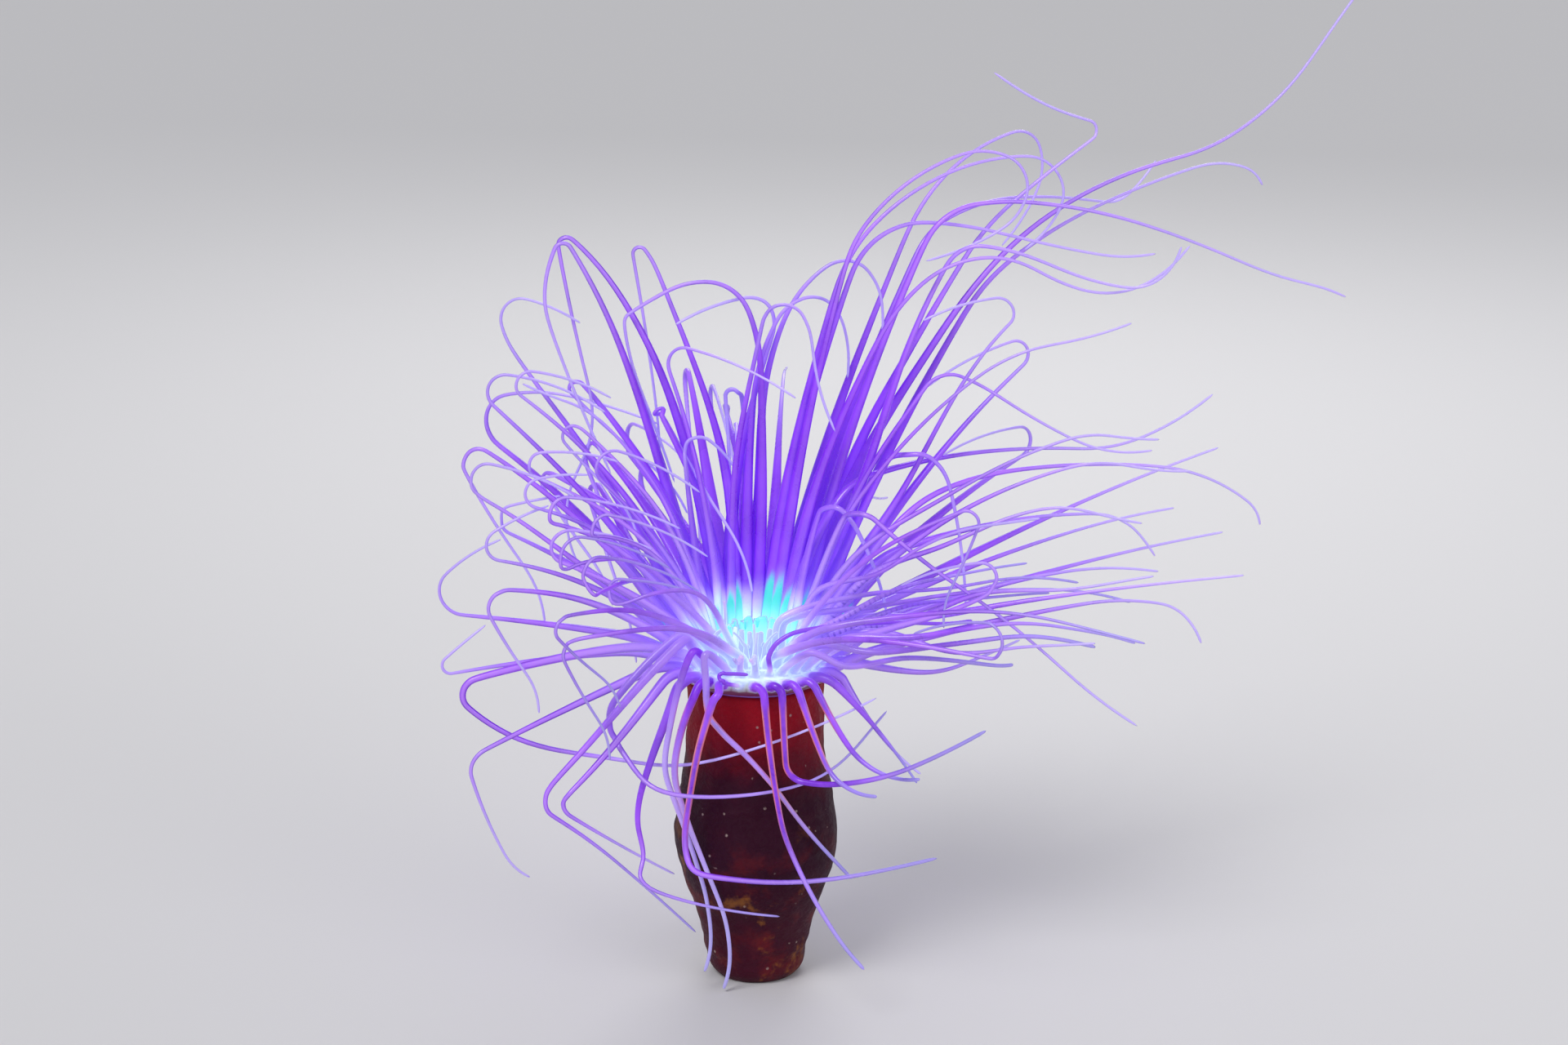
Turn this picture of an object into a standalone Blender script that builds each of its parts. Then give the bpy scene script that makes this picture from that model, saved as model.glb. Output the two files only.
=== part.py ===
# A tube anemone standing in its soft tube with its crown of tentacles spread.
# The design is in millimetres and is turned into metres as each mesh is made.
# +Z is up, the front faces -Y, and the origin is the middle of the tube's flat underside.

import math
import random

import bmesh
import bpy
import numpy as np
from mathutils import Matrix, Vector

MM = 0.001
GAP = 0.3  # left between pieces that touch

# The tube: its outline as radius and height, from the foot to the mouth
FOOT_RADIUS = 10.5
TUBE_OUTLINE = (
    (FOOT_RADIUS, 0.0),
    (12.7, 2.7),
    (13.8, 8.2),
    (15.6, 16.5),
    (19.4, 27.0),
    (21.6, 37.5),
    (20.9, 48.0),
    (18.8, 59.0),
    (18.0, 72.5),
    (18.4, 82.0),
)
TUBE_LIP = 16.6  # inner radius at the mouth
TUBE_FLOOR = 3.5
TUBE_SIDES = 24

# The body inside the tube
BODY_RADIUS = 15.4
BODY_TOP = 82.4
BODY_SIDES = 18

# The crown: columns round the rim, and cycles of tentacles from the rim inwards
COLUMNS = 30
RIM = ((20.5, 84.6), (17.7, 87.4), (14.9, 88.7), (12.2, 89.0), (9.8, 88.6))
CYCLES = len(RIM) - 1
ROOT_TILT = (66.0, 42.0, 18.0, 5.0)  # how far each cycle's roots lean out, in degrees
ROOT_RISE = 3.4  # length of the root cone
BASE_RADIUS = (1.6, 1.6, 1.42, 1.12)
TIP_RADIUS = 0.34
TAPER = 1.9
# Those that hang at the front are thinner, and blunter at the tip
FRONT_BELOW = -0.72  # the sine of the azimuth that they grow below
FRONT_BASE = 0.72
FRONT_TIP = 0.5
FRONT_TAPER = 1.4
SLENDER = {(0, 258): 0.5, (1, 282): 0.6}  # thin ones, by cycle and azimuth: base radius over the usual
CORNER = 1.25  # a four-sided section's corner radius over the tentacle's own
SEED = 1000  # of the tentacles that aren't shaped one by one

# Room that the tentacles leave round the tube and over the crown's base
TUBE_ROOM = 1.4
SHOULDER = 87.0
CROWN_TOP = 90.4

# The mouth and the short inner tentacles round it
DISC_INNER = 7.5
LABIAL_RING = (4.7, DISC_INNER)
MOUTH_SIDES = 16
LABIAL_HEIGHT = 88.0
LABIAL_BASE = 1.3
LABIAL_TIP = 0.34

# Rings along a tentacle: one for each so much turning and so much length
TURN_PER_RING = 46.0
RUN_PER_RING = 54.0
LEAST_RINGS, MOST_RINGS = 5, 13
LEAST_INNER_RINGS = 3
SPLIT_COUNT = 24  # the longest tentacles are made in two lengths
SPLIT_SHARE = 0.52

# Tentacles that give the crown its outline. Each has its cycle, the place of its root
# round the rim and the heading it takes, both in degrees from the right through the back,
# and then its rise in degrees and its run in mm by turns, from root to tip. A rise past
# 90 or -90 has curled back over the heading.
SHAPED = (
    # tall hooks on the left
    (2, 128, 172, (82, 66, 72, 30, 56, 16, 40, 6, -100, 36, -105, 24, -60, 30, -120)),
    (1, 140, 186, (80, 80, 70, 30, 60, 5, -65, 10, -84, 10, -108, 44, -114)),
    (3, 118, 165, (86, 54, 76, 44, 70, 6, 45, 5, -100, 46, -95, 12, -85)),
    (3, 95, 178, (94, 70, 88, 16, 70, 14, 0, 10, -28, 12, -35, 3, -95, 18, -108, 28, -105)),
    # hoops on the left that curl up and over
    (1, 152, 168, (64, 74, 52, 14, 55, 8, 75, 12, 190, 16, 212)),
    (2, 160, 190, (70, 56, 50, 26, 40, 10, 190, 22, 214)),
    (1, 166, 172, (62, 52, 46, 28, 42, 12, 185, 28, 215)),
    (0, 150, 160, (56, 52, 38, 20, 32, 18, 165, 18, 188, 26, 198)),
    (2, 178, 196, (62, 30, 45, 30, 18, 10, 170, 14, 190)),
    (0, 162, 178, (52, 38, 28, 16, 24, 10, 165, 14, 172)),
    (1, 186, 192, (48, 36, 24, 20, 12, 10, 150, 16, 166)),
    (0, 174, 176, (35, 15, 8, 41, 4, 15, 135, 18, 158)),
    (0, 186, 194, (28, 15, 0, 43, -6, 6, 140, 14, 145)),
    (3, 198, 178, (58, 34, 44, 30, 30, 10, 175, 20, 200)),
    # tentacles that leave the front left, sink and come back under themselves
    (1, 208, 190, (25, 18, -4, 39, -12, 10, -135, 32, -168, 33, -195, 42, -212)),
    (2, 222, 200, (30, 10, -30, 20, -45, 12, -140, 22, -168, 26, -195, 26, -216)),
    (0, 198, 200, (10, 8, -18, 46, -22, 9, -105, 24, -116, 10, -150)),
    (1, 222, 204, (10, 6, -36, 44, -36, 10, -142, 24, -134, 32, -132)),
    (0, 210, 210, (0, 6, -46, 36, -36, 9, -142, 38, -146)),
    (0, 222, 214, (-10, 5, -74, 26, -58, 20, -118, 6, -148, 38, -166)),
    # tentacles that hang before the tube
    (0, 234, 198, (-20, 5, -60, 17, -84, 10, -113, 34, -110, 14, -90, 13, -66)),
    (1, 238, 206, (0, 8, -58, 18, -86, 10, -112, 30, -106, 13, -88, 14, -62)),
    (1, 230, 198, (0, 6, -72, 10, -112, 8, -140, 20, -118, 30, -128)),
    (0, 246, 192, (0, 4, -84, 34, -76, 8, -92, 10, -168, 34, -180, 28, -188)),
    (0, 270, 330, (0, 4, -86, 32, -78, 8, -64, 26, -50, 12, -36)),
    (0, 282, 334, (0, 4, -88, 18, -86, 7, -2, 9, 12, 24, 30, 24, 36)),
    (0, 296, 318, (0, 4, -66, 18, -58, 8, -20, 12, 16)),
    (0, 310, 326, (0, 4, -60, 16, -48, 10, -16, 14, 20)),
    (0, 318, 332, (0, 6, -38, 20, -46, 12, -52)),
    (0, 326, 340, (0, 4, -55, 18, -50, 14, -30)),
    (1, 294, 4, (34, 8, 6, 22, -6, 24, -10, 6, 10)),
    (3, 294, 8, (48, 8, 26, 26, 14, 30, 2, 20, -14)),
    (3, 306, 2, (54, 8, 22, 30, 10, 34, 0, 22, -20)),
    (1, 306, 356, (38, 12, 10, 36, 4, 30, -14)),
    (1, 318, 352, (36, 14, 12, 46, 4, 26, -18)),
    # on the disc's front: a curl, one drawn out to a thread, two that lean far right, and short ones
    (0, 258, 182, (5, 3.6, 10, 1.5, 90, 1.8, 174, 6.5, 184)),
    (1, 282, 10, (90, 2.5, 70, 3, 24, 5, 10, 26, 6, 20, 18)),
    (2, 304, 12, (58, 6, 32, 12, 20, 26, 14, 24, 4)),
    (2, 318, 4, (50, 6, 24, 14, 12, 26, 10, 22, 0)),
    (2, 234, 160, (98, 8, 94, 7, 84)),
    (3, 258, 215, (80, 4, 60, 4, 36)),
    (3, 270, 100, (86, 4, 74, 4, 50)),
    (3, 282, 330, (80, 4, 60, 4, 36)),
    (2, 270, 70, (88, 4, 74, 3, 60)),
    (1, 258, 250, (62, 3, 44, 3, 20)),
    (1, 270, 255, (62, 3, 44, 3, 20)),
    # long arcs on the right
    (2, 10, 12, (64, 32, 50, 18, 22, 24, 4, 38, -8, 28, -40, 8, -85)),
    (1, 20, 6, (70, 24, 42, 10, 18, 28, 8, 22, -2, 14, -50, 8, -60)),
    (3, 40, 20, (80, 36, 56, 12, 14, 26, 2, 34, -8, 18, 16, 24, 36)),
    (2, 28, 350, (62, 52, 64, 12, -40, 8, -76, 34, -88)),
    (3, 20, 10, (67, 74, 58, 10, -24, 12, -36, 24, -28, 22, 8)),
    (1, 8, 16, (46, 16, 21, 58, 12, 28, 4)),
    (0, 14, 8, (44, 16, 16, 58, 12, 34, 8)),
    (1, 356, 352, (42, 15, 14, 56, 10, 40, 8)),
    (0, 28, 18, (48, 18, 24, 68, 18, 34, 14)),
    (0, 0, 358, (46, 22, 20, 40, 12, 26, -8)),
    (1, 344, 348, (40, 20, 16, 50, 14, 20, 12)),
    (0, 346, 354, (32, 14, 18, 52, 12, 20, -8, 8, -48, 8, -72)),
    (3, 356, 345, (75, 36, 64, 9, -46, 26, -30, 36, -40, 24, -28)),
    (2, 336, 342, (24, 8, 4, 34, 6, 36, 10)),
    (0, 336, 346, (6, 6, -10, 14, 0, 12, 26, 18, 30)),
    # the highest ones, at the right and the back
    (2, 52, 18, (65, 88, 58, 26, 40, 30, 22, 24, 9, 16, 28, 30, 54, 42, 50)),
    (3, 66, 10, (83, 99, 75, 12, 52, 30, 18, 13, -25, 14, -110, 10, -150, 22, -170)),
    (2, 64, 24, (75, 107, 66, 16, 46, 26, 12, 10, -70, 12, -115, 18, -138)),
    (1, 56, 12, (71, 107, 60, 20, 40, 26, 34, 6, 165, 16, 150, 14, 142)),
    (2, 40, 16, (77, 107, 66, 18, 5, 14, -8, 33, -20, 32, -26, 20, -14, 12, -30)),
    (1, 70, 30, (73, 104, 62, 14, 20, 22, -4, 28, -14, 9, 36, 12, 54)),
    (1, 42, 352, (77, 106, 64, 12, -6, 17, -24, 20, -6, 11, 45, 9, 80)),
    (3, 52, 356, (79, 82, 66, 20, 42, 18, 4, 14, -32, 12, -16, 17, 30, 15, 58)),
    (0, 60, 16, (68, 96, 58, 18, 36, 26, 22, 30, 14, 14, -20, 8, -70)),
    (3, 76, 14, (82, 92, 74, 20, 44, 24, 20, 20, -2, 10, -50, 12, -120, 14, -150)),
    (2, 76, 8, (82, 96, 72, 14, 30, 12, -4, 20, -16, 26, -12, 16, 10)),
    # upright ones in the middle
    (3, 110, 20, (91, 62, 85, 22, 60, 9, 10, 9, -50, 6, -72, 15, -98)),
    (2, 84, 12, (87, 55, 90, 24, 70, 22, 34, 12, -50, 10, -84, 14, -100)),
    (3, 80, 350, (86, 84, 82, 6, 20, 8, -60, 8, -86, 24, -64)),
    (2, 104, 170, (90, 62, 88, 6, -95, 22, -92)),
    (2, 146, 10, (98, 50, 95, 4, 20, 5, -40, 10, -60)),
    (3, 60, 340, (82, 34, 72, 8, -45, 6, -62, 24, -80)),
)


# The short inner tentacles round the mouth: azimuth of the root, heading, and legs
INNER = (
    (6, 40, (84, 2.6, 70, 2, 40)),
    (42, 30, (92, 2.6, 80, 1.8, 60)),
    (78, 100, (95, 2.2, 84, 2, 60)),
    (114, 140, (96, 2.6, 84, 1.4, 60)),
    (150, 170, (88, 2.6, 76, 2, 46)),
    (186, 190, (84, 3, 66, 2, 30)),
    (210, 170, (96, 3, 90, 2, 80)),
    (236, 90, (88, 2.4, 94, 2, 100)),
    (262, 250, (84, 2.2, 60, 2, 20)),
    (282, 300, (80, 2.2, 70, 2, 50)),
    (306, 10, (86, 2.4, 60, 2.4, 36)),
    (330, 2, (76, 2.4, 60, 2.4, 30)),
)


def cell_centre(cycle, column):
    """The middle of a cell on the crown's upper face, and the azimuth that it lies at."""
    outer, inner = RIM[cycle], RIM[cycle + 1]
    azimuth = 2 * math.pi * (column + 0.5) / COLUMNS
    radius, height = (outer[0] + inner[0]) / 2, (outer[1] + inner[1]) / 2
    return np.array((radius * math.cos(azimuth), radius * math.sin(azimuth), height)), azimuth


def walk(start, heading, legs):
    """Close-set points of a path whose rise changes evenly along each run."""
    points = [start]
    ahead = np.array((math.cos(heading), math.sin(heading)))
    rises, runs = legs[::2], legs[1::2]
    for rise, following, run in zip(rises, rises[1:], runs):
        steps = max(2, math.ceil(max(run / 2.5, abs(following - rise) / 10)))
        for step in range(steps):
            angle = math.radians(rise + (following - rise) * (step + 0.5) / steps)
            flat = math.cos(angle) * ahead
            points.append(points[-1] + np.array((*flat, math.sin(angle))) * run / steps)
    return np.array(points)


def ringed(points, least=LEAST_RINGS):
    """The points thinned to rings, closest together where the path bends most."""
    moves = np.diff(points, axis=0)
    lengths = np.linalg.norm(moves, axis=1)
    ways = moves / lengths[:, None]
    turns = np.degrees(np.arccos(np.clip((ways[1:] * ways[:-1]).sum(1), -1, 1)))
    turns = (np.append(turns, 0) + np.append(0, turns)) / 2
    need = np.append(0, np.cumsum(turns / TURN_PER_RING + lengths / RUN_PER_RING))
    count = min(MOST_RINGS, max(least, round(need[-1])))
    at = np.linspace(0, need[-1], count + 1)
    return np.stack([np.interp(at, need, points[:, axis]) for axis in range(3)], 1)


def loose_legs(cycle, azimuth, rng):
    """Heading and legs for a tentacle that isn't among the shaped ones, by where it grows."""
    side, back = math.cos(azimuth), math.sin(azimuth)
    if back < -0.45 and cycle == 0:
        # the outermost ones at the front fall over the tube's mouth
        low = rng.uniform(-78, -62)
        flick = rng.uniform(-30, 14)
        fall, bend, rest = rng.uniform(18, 32), rng.uniform(9, 14), rng.uniform(10, 22)
        legs = (14, 8, low, fall, low - 8, bend, flick, rest, flick + 16)
        return math.degrees(azimuth) + rng.uniform(-12, 12), legs
    if back > 0.6 and cycle < 2:
        # the outer ones at the back lean away
        rise = 28 + 12 * cycle + rng.uniform(-10, 10)
        heading = math.degrees(azimuth) + rng.uniform(-20, 20)
        stem = rng.uniform(58, 88)
    elif back > 0.75:
        # the inner ones there stand up, arch over and hang
        rise = 58 + 8 * cycle + rng.uniform(-6, 7)
        heading = 90 + rng.choice((-1, 1)) * rng.uniform(25, 85)
        stem = rng.uniform(56, 96)
    else:
        # the others lean out to their own side
        rise = 24 + 11 * cycle + 32 * back + rng.uniform(-9, 9)
        heading = (180 - 34 * back if side < 0 else 34 * back) + rng.uniform(-14, 14)
        stem = rng.uniform(50, 80) if side < 0 else rng.uniform(60, 98)
        stem *= 0.75 if back < -0.45 else 1
    way, tail = rng.random(), rng.uniform(26, 54)
    start = (rise + 15, stem * 0.35, rise + 4, stem * 0.65)
    if way < (0.45 if side < 0.2 else 0.16):
        # a tight bend, and a tail that hangs
        drop = rng.uniform(-112, -88) - 24 * (side < 0)
        legs = (*start, rise - 12, rng.uniform(6, 11), drop, tail * 0.6, drop - 8, tail * 0.4, drop + 26)
    elif way < 0.45 + 0.45 * (side < 0.2):
        # a hoop that curls up and over
        curl = rng.uniform(176, 200)
        legs = (*start, rise - 10, rng.uniform(10, 16), curl, tail * 0.7, curl + 22)
    else:
        # a long open arc, flatter at the front
        tail *= 0.55 if side < 0 else 0.9
        droop = 0.5 if back < -0.45 else 1
        last = rise - rng.uniform(34, 70) * droop
        legs = (*start, rise - 22 * droop, tail * 0.5, rise - 50 * droop, tail * 0.5, last)
    return heading, legs


def tentacle_paths():
    """Rings of every tentacle of the crown, by cycle and column."""
    free = [(cycle, column) for cycle in range(CYCLES) for column in range(COLUMNS)]
    plans = {}
    for cycle, azimuth, heading, legs in SHAPED:
        wanted = math.radians(azimuth)
        cells = [cell for cell in free if cell[0] == cycle] or free
        cell = min(cells, key=lambda c: 1 - math.cos(cell_centre(*c)[1] - wanted))
        free.remove(cell)
        plans[cell] = (heading, legs)
    for cell in free:
        rng = random.Random(SEED + COLUMNS * cell[0] + cell[1])
        plans[cell] = loose_legs(cell[0], cell_centre(*cell)[1], rng)
    paths = {}
    for cell in sorted(plans):
        heading, legs = plans[cell]
        centre, azimuth = cell_centre(*cell)
        tilt = math.radians(ROOT_TILT[cell[0]])
        out = math.sin(tilt)
        cone = np.array((out * math.cos(azimuth), out * math.sin(azimuth), math.cos(tilt)))
        root = centre + ROOT_RISE * cone
        paths[cell] = np.vstack((centre, ringed(walk(root, math.radians(heading), legs))))
    return paths


def radii_of(points, base, tip, taper):
    """The tentacle's own radius at each ring."""
    lengths = np.linalg.norm(np.diff(points, axis=0), axis=1)
    share = np.append(0, np.cumsum(lengths)) / lengths.sum()
    return tip + (base - tip) * np.maximum(1 - share, 0) ** taper


def crown_radii(cell, points):
    """The radii of the crown's tentacle that grows from a cell."""
    cycle, column = cell
    azimuth = cell_centre(cycle, column)[1]
    base = BASE_RADIUS[cycle] * SLENDER.get((cycle, round(math.degrees(azimuth))), 1)
    if cycle < 2 and math.sin(azimuth) < FRONT_BELOW:
        return radii_of(points, base * FRONT_BASE, FRONT_TIP, FRONT_TAPER)
    return radii_of(points, base, TIP_RADIUS, TAPER)


def spread(paths, radii, rounds=220, clearance=0.6):
    """Moves the paths apart until no two come nearer than their sections allow."""
    counts = [len(path) for path in paths]
    first = np.cumsum([0] + counts[:-1])
    nodes = np.vstack(paths)
    owner = np.repeat(np.arange(len(paths)), counts)
    place = np.concatenate([np.arange(count) for count in counts])
    reach = np.concatenate(radii) * np.interp(place, (0, 1, 2, 3), (0.8, 1.1, 1.36, 1.32))
    loose = np.interp(place, (1, 2, 3), (0, 0.6, 1))
    starts = np.flatnonzero(np.append(owner[1:] == owner[:-1], False))
    one, two = np.triu_indices(len(starts), 1)
    a, b = starts[one], starts[two]
    apart = (owner[a] != owner[b]) | (place[b] - place[a] > 2)
    rooted = (place[a] == 0) & (place[b] == 0)
    a, b = a[apart & ~rooted], b[apart & ~rooted]
    for turn in range(rounds):
        if turn % 20 == 0:
            middle = (nodes[starts] + nodes[starts + 1]) / 2
            half = np.linalg.norm(nodes[starts + 1] - nodes[starts], axis=1) / 2
            index = np.zeros(len(nodes), int)
            index[starts] = np.arange(len(starts))
            far = np.linalg.norm(middle[index[a]] - middle[index[b]], axis=1)
            near = far < half[index[a]] + half[index[b]] + 9
            i, j = a[near], b[near]
        p, d = nodes[i], nodes[i + 1] - nodes[i]
        q, e = nodes[j], nodes[j + 1] - nodes[j]
        r = p - q
        dd, de, ee = (d * d).sum(1), (d * e).sum(1), (e * e).sum(1)
        dr, er = (d * r).sum(1), (e * r).sum(1)
        s = np.clip((de * er - dr * ee) / np.maximum(dd * ee - de * de, 1e-6), 0, 1)
        t = np.clip((de * s + er) / ee, 0, 1)
        s = np.clip((de * t - dr) / dd, 0, 1)
        across = p + d * s[:, None] - q - e * t[:, None]
        distance = np.linalg.norm(across, axis=1)
        need = reach[i] * (1 - s) + reach[i + 1] * s + reach[j] * (1 - t) + reach[j + 1] * t
        close = np.flatnonzero(distance < need + clearance)
        push = np.zeros_like(nodes)
        hits = np.zeros(len(nodes))
        away = across[close] / np.maximum(distance[close], 1e-6)[:, None]
        short = 0.5 * (need[close] + clearance - distance[close])[:, None] * away
        for ends, share, sign in ((i, 1 - s, 1), (i + 1, s, 1), (j, 1 - t, -1), (j + 1, t, -1)):
            np.add.at(push, ends[close], sign * short * share[close, None])
            np.add.at(hits, ends[close], share[close])
        push /= np.maximum(hits, 1)[:, None]
        nodes += push * 1.3 * loose[:, None]
        keep_clear(nodes, starts, reach, loose)
    return [nodes[f : f + count] for f, count in zip(first, counts)]


def keep_clear(nodes, starts, reach, loose):
    """Moves the paths out of the tube and the crown's base, and up off the floor."""
    push = np.zeros_like(nodes)
    hits = np.zeros(len(nodes))
    for share in (0.0, 0.2, 0.4, 0.6, 0.8, 1.0):
        spots = nodes[starts] * (1 - share) + nodes[starts + 1] * share
        around = reach[starts] * (1 - share) + reach[starts + 1] * share
        shift = way_out(spots, around)
        for ends, part in ((starts, 1 - share), (starts + 1, share)):
            np.add.at(push, ends, shift * part)
            np.add.at(hits, ends, part * (np.abs(shift).max(1) > 0))
    nodes += push / np.maximum(hits, 1)[:, None] * loose[:, None]
    nodes[:, 2] = np.maximum(nodes[:, 2], reach * 1.02)


def way_out(spots, around):
    """How far each spot has to move to leave the tube and the crown's base."""
    outline = np.array(TUBE_OUTLINE)
    out = np.linalg.norm(spots[:, :2], axis=1)
    height = spots[:, 2]
    wall = np.interp(height, outline[:, 1], outline[:, 0]) + TUBE_ROOM
    wall = np.where(height > BODY_TOP - 4, RIM[0][0] + 0.6, wall) + around
    shift = np.zeros_like(spots)
    side = (height < SHOULDER) & (out < wall)
    shift[side, :2] = (spots[:, :2] * (wall / np.maximum(out, 1e-6) - 1)[:, None])[side]
    above = (height >= SHOULDER) & (height < CROWN_TOP + around) & (out < RIM[0][0])
    shift[above, 2] = (CROWN_TOP + around - height)[above]
    return shift


def frames_along(points, way, across):
    """A section's two directions at each ring, carried along the path without twisting."""
    ways = np.diff(points, axis=0)
    ways /= np.linalg.norm(ways, axis=1)[:, None]
    sides = []
    for ring in range(len(points)):
        before = ways[max(ring - 1, 0)]
        after = ways[min(ring, len(ways) - 1)]
        tangent = Vector(before + after).normalized()
        turn = way.rotation_difference(tangent)
        across = (turn @ across).normalized()
        way = tangent
        sides.append((across, tangent.cross(across)))
    return sides


def corner_signs(face, across, along):
    """Which side of its middle each corner of a four-sided face lies on, both ways."""
    middle = face.calc_center_median()
    offs = [loop.vert.co - middle for loop in face.loops]
    return [(math.copysign(1, off.dot(across)), math.copysign(1, off.dot(along))) for off in offs]


def place_ring(face, signs, centre, corner, across, along):
    """Sets a four-sided face's corners square round a centre."""
    reach = corner / math.sqrt(2)
    for loop, (a, b) in zip(face.loops, signs):
        loop.vert.co = (Vector(centre) + (across * a + along * b) * reach) * MM


def grow(bm, face, signs, points, radii, sides):
    """Extrudes a face ring by ring along the path, from the ring after the first."""
    for ring in range(1, len(points)):
        face = bmesh.ops.extrude_discrete_faces(bm, faces=[face])["faces"][0]
        place_ring(face, signs, points[ring], CORNER * radii[ring], *sides[ring])


def material(name, colour, roughness, metallic=0.0):
    """A Principled material of one colour."""
    made = bpy.data.materials.new(name)
    made.use_nodes = True
    shader = made.node_tree.nodes["Principled BSDF"]
    shader.inputs["Base Color"].default_value = (*colour, 1)
    shader.inputs["Roughness"].default_value = roughness
    shader.inputs["Metallic"].default_value = metallic
    made.diffuse_color = (*colour, 1)
    return made


def add_object(name, mesh, collection, surface):
    """A new object in the collection, shaded smooth except at sharp edges."""
    mesh.materials.append(surface)
    mesh.shade_smooth()
    mesh.set_sharp_from_angle(angle=math.radians(50))
    made = bpy.data.objects.new(name, mesh)
    collection.objects.link(made)
    return made


def add_turned(name, profile, sides, collection, surface):
    """A profile of radius and height, given so that its outer side runs down, turned about Z."""
    mesh = bpy.data.meshes.new(name)
    points = [(radius * MM, 0, height * MM) for radius, height in profile]
    mesh.from_pydata(points, [(n, n + 1) for n in range(len(points) - 1)], [])
    made = add_object(name, mesh, collection, surface)
    screw = made.modifiers.new("Turn", "SCREW")
    screw.steps = screw.render_steps = sides
    screw.use_merge_vertices = True
    screw.merge_threshold = 0.00001
    return made


def finish(bm, name, collection, surface):
    """Turns a closed bmesh into an object with its faces outwards."""
    bmesh.ops.recalc_face_normals(bm, faces=bm.faces)
    mesh = bpy.data.meshes.new(name)
    bm.to_mesh(mesh)
    bm.free()
    return add_object(name, mesh, collection, surface)


def spun_wedge(profile, start, sweep, steps):
    """A closed wedge: a cross-section of radius and height spun about Z."""
    bm = bmesh.new()
    turn = Matrix.Rotation(start, 4, "Z")
    verts = [bm.verts.new(turn @ Vector((radius * MM, 0, height * MM))) for radius, height in profile]
    face = bm.faces.new(verts)
    geometry = [face, *face.edges, *face.verts]
    bmesh.ops.spin(bm, geom=geometry, axis=(0, 0, 1), angle=sweep, steps=steps, cent=(0, 0, 0))
    return bm


def cell_face(bm, centre):
    """The face whose middle lies nearest to a point given in millimetres."""
    return min(bm.faces, key=lambda f: (f.calc_center_median() / MM - Vector(centre)).length)


def add_tube(collection, surface):
    outer = list(reversed(TUBE_OUTLINE))
    lip_top = outer[0][1] + 0.4
    inner = [(0, TUBE_FLOOR), (7.0, TUBE_FLOOR), (BODY_RADIUS - 3, 16), (BODY_RADIUS + GAP, 40)]
    lip = [(TUBE_LIP, outer[0][1] - 0.6), ((TUBE_LIP + outer[0][0]) / 2, lip_top)]
    add_turned("tube", inner + lip + outer + [(0, 0)], TUBE_SIDES, collection, surface)


def add_body(collection, surface):
    top = BODY_TOP - GAP
    profile = [(0, top), (BODY_RADIUS, top), (BODY_RADIUS, 42), (11.6, 17), (6.2, 5), (0, 4)]
    add_turned("body_column", profile, BODY_SIDES, collection, surface)


def add_mouth(collection, surface):
    """The lips and the short throat between them."""
    edge = LABIAL_RING[0] - GAP
    throat = [(0, 84.6), (0.9, 85.2), (1.7, 88.0)]
    lips = [(2.6, 89.2), (3.6, 88.4), (edge, 87.6)]
    profile = throat + lips + [(edge, BODY_TOP), (0, BODY_TOP)]
    add_turned("mouth", profile, MOUTH_SIDES, collection, surface)


def add_disc(collection, surface):
    inner, outer = DISC_INNER + GAP, RIM[-1][0] - GAP
    profile = [(inner, BODY_TOP), (inner, 88.2), (outer, 88.4), (outer, BODY_TOP), (inner, BODY_TOP)]
    add_turned("oral_disc", profile, COLUMNS, collection, surface)


def labial_paths():
    """Rings of the short inner tentacles, by column."""
    paths = {}
    for wanted, heading, legs in INNER:
        column = wanted * COLUMNS // 360
        azimuth = 2 * math.pi * (column + 0.5) / COLUMNS
        middle = sum(LABIAL_RING) / 2
        centre = np.array((middle * math.cos(azimuth), middle * math.sin(azimuth), LABIAL_HEIGHT))
        root = centre + np.array((0.0, 0.0, 2.2))
        rings = ringed(walk(root, math.radians(heading), legs), LEAST_INNER_RINGS)
        paths[column] = np.vstack((centre, rings))
    return paths


def add_labials(paths, collection, surface):
    """Two half rings, each with the inner tentacles that grow from it."""
    pitch = 2 * math.pi / COLUMNS
    half = COLUMNS // 2
    inner, outer = LABIAL_RING
    gap = GAP / inner
    profile = [(outer, LABIAL_HEIGHT), (inner, LABIAL_HEIGHT), (inner, BODY_TOP), (outer, BODY_TOP)]
    for name, first in (("labial_tentacles_back", 0), ("labial_tentacles_front", half)):
        bm = spun_wedge(profile, first * pitch + gap / 2, half * pitch - gap, half)
        for column in range(first, first + half):
            if column not in paths:
                continue
            points = paths[column]
            face = cell_face(bm, points[0])
            radii = radii_of(points, LABIAL_BASE, LABIAL_TIP, 1.0)
            azimuth = pitch * (column + 0.5)
            radial = Vector((math.cos(azimuth), math.sin(azimuth), 0))
            sides = frames_along(points, Vector((0, 0, 1)), radial)
            grow(bm, face, corner_signs(face, *sides[0]), points, radii, sides)
        finish(bm, name, collection, surface)


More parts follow.
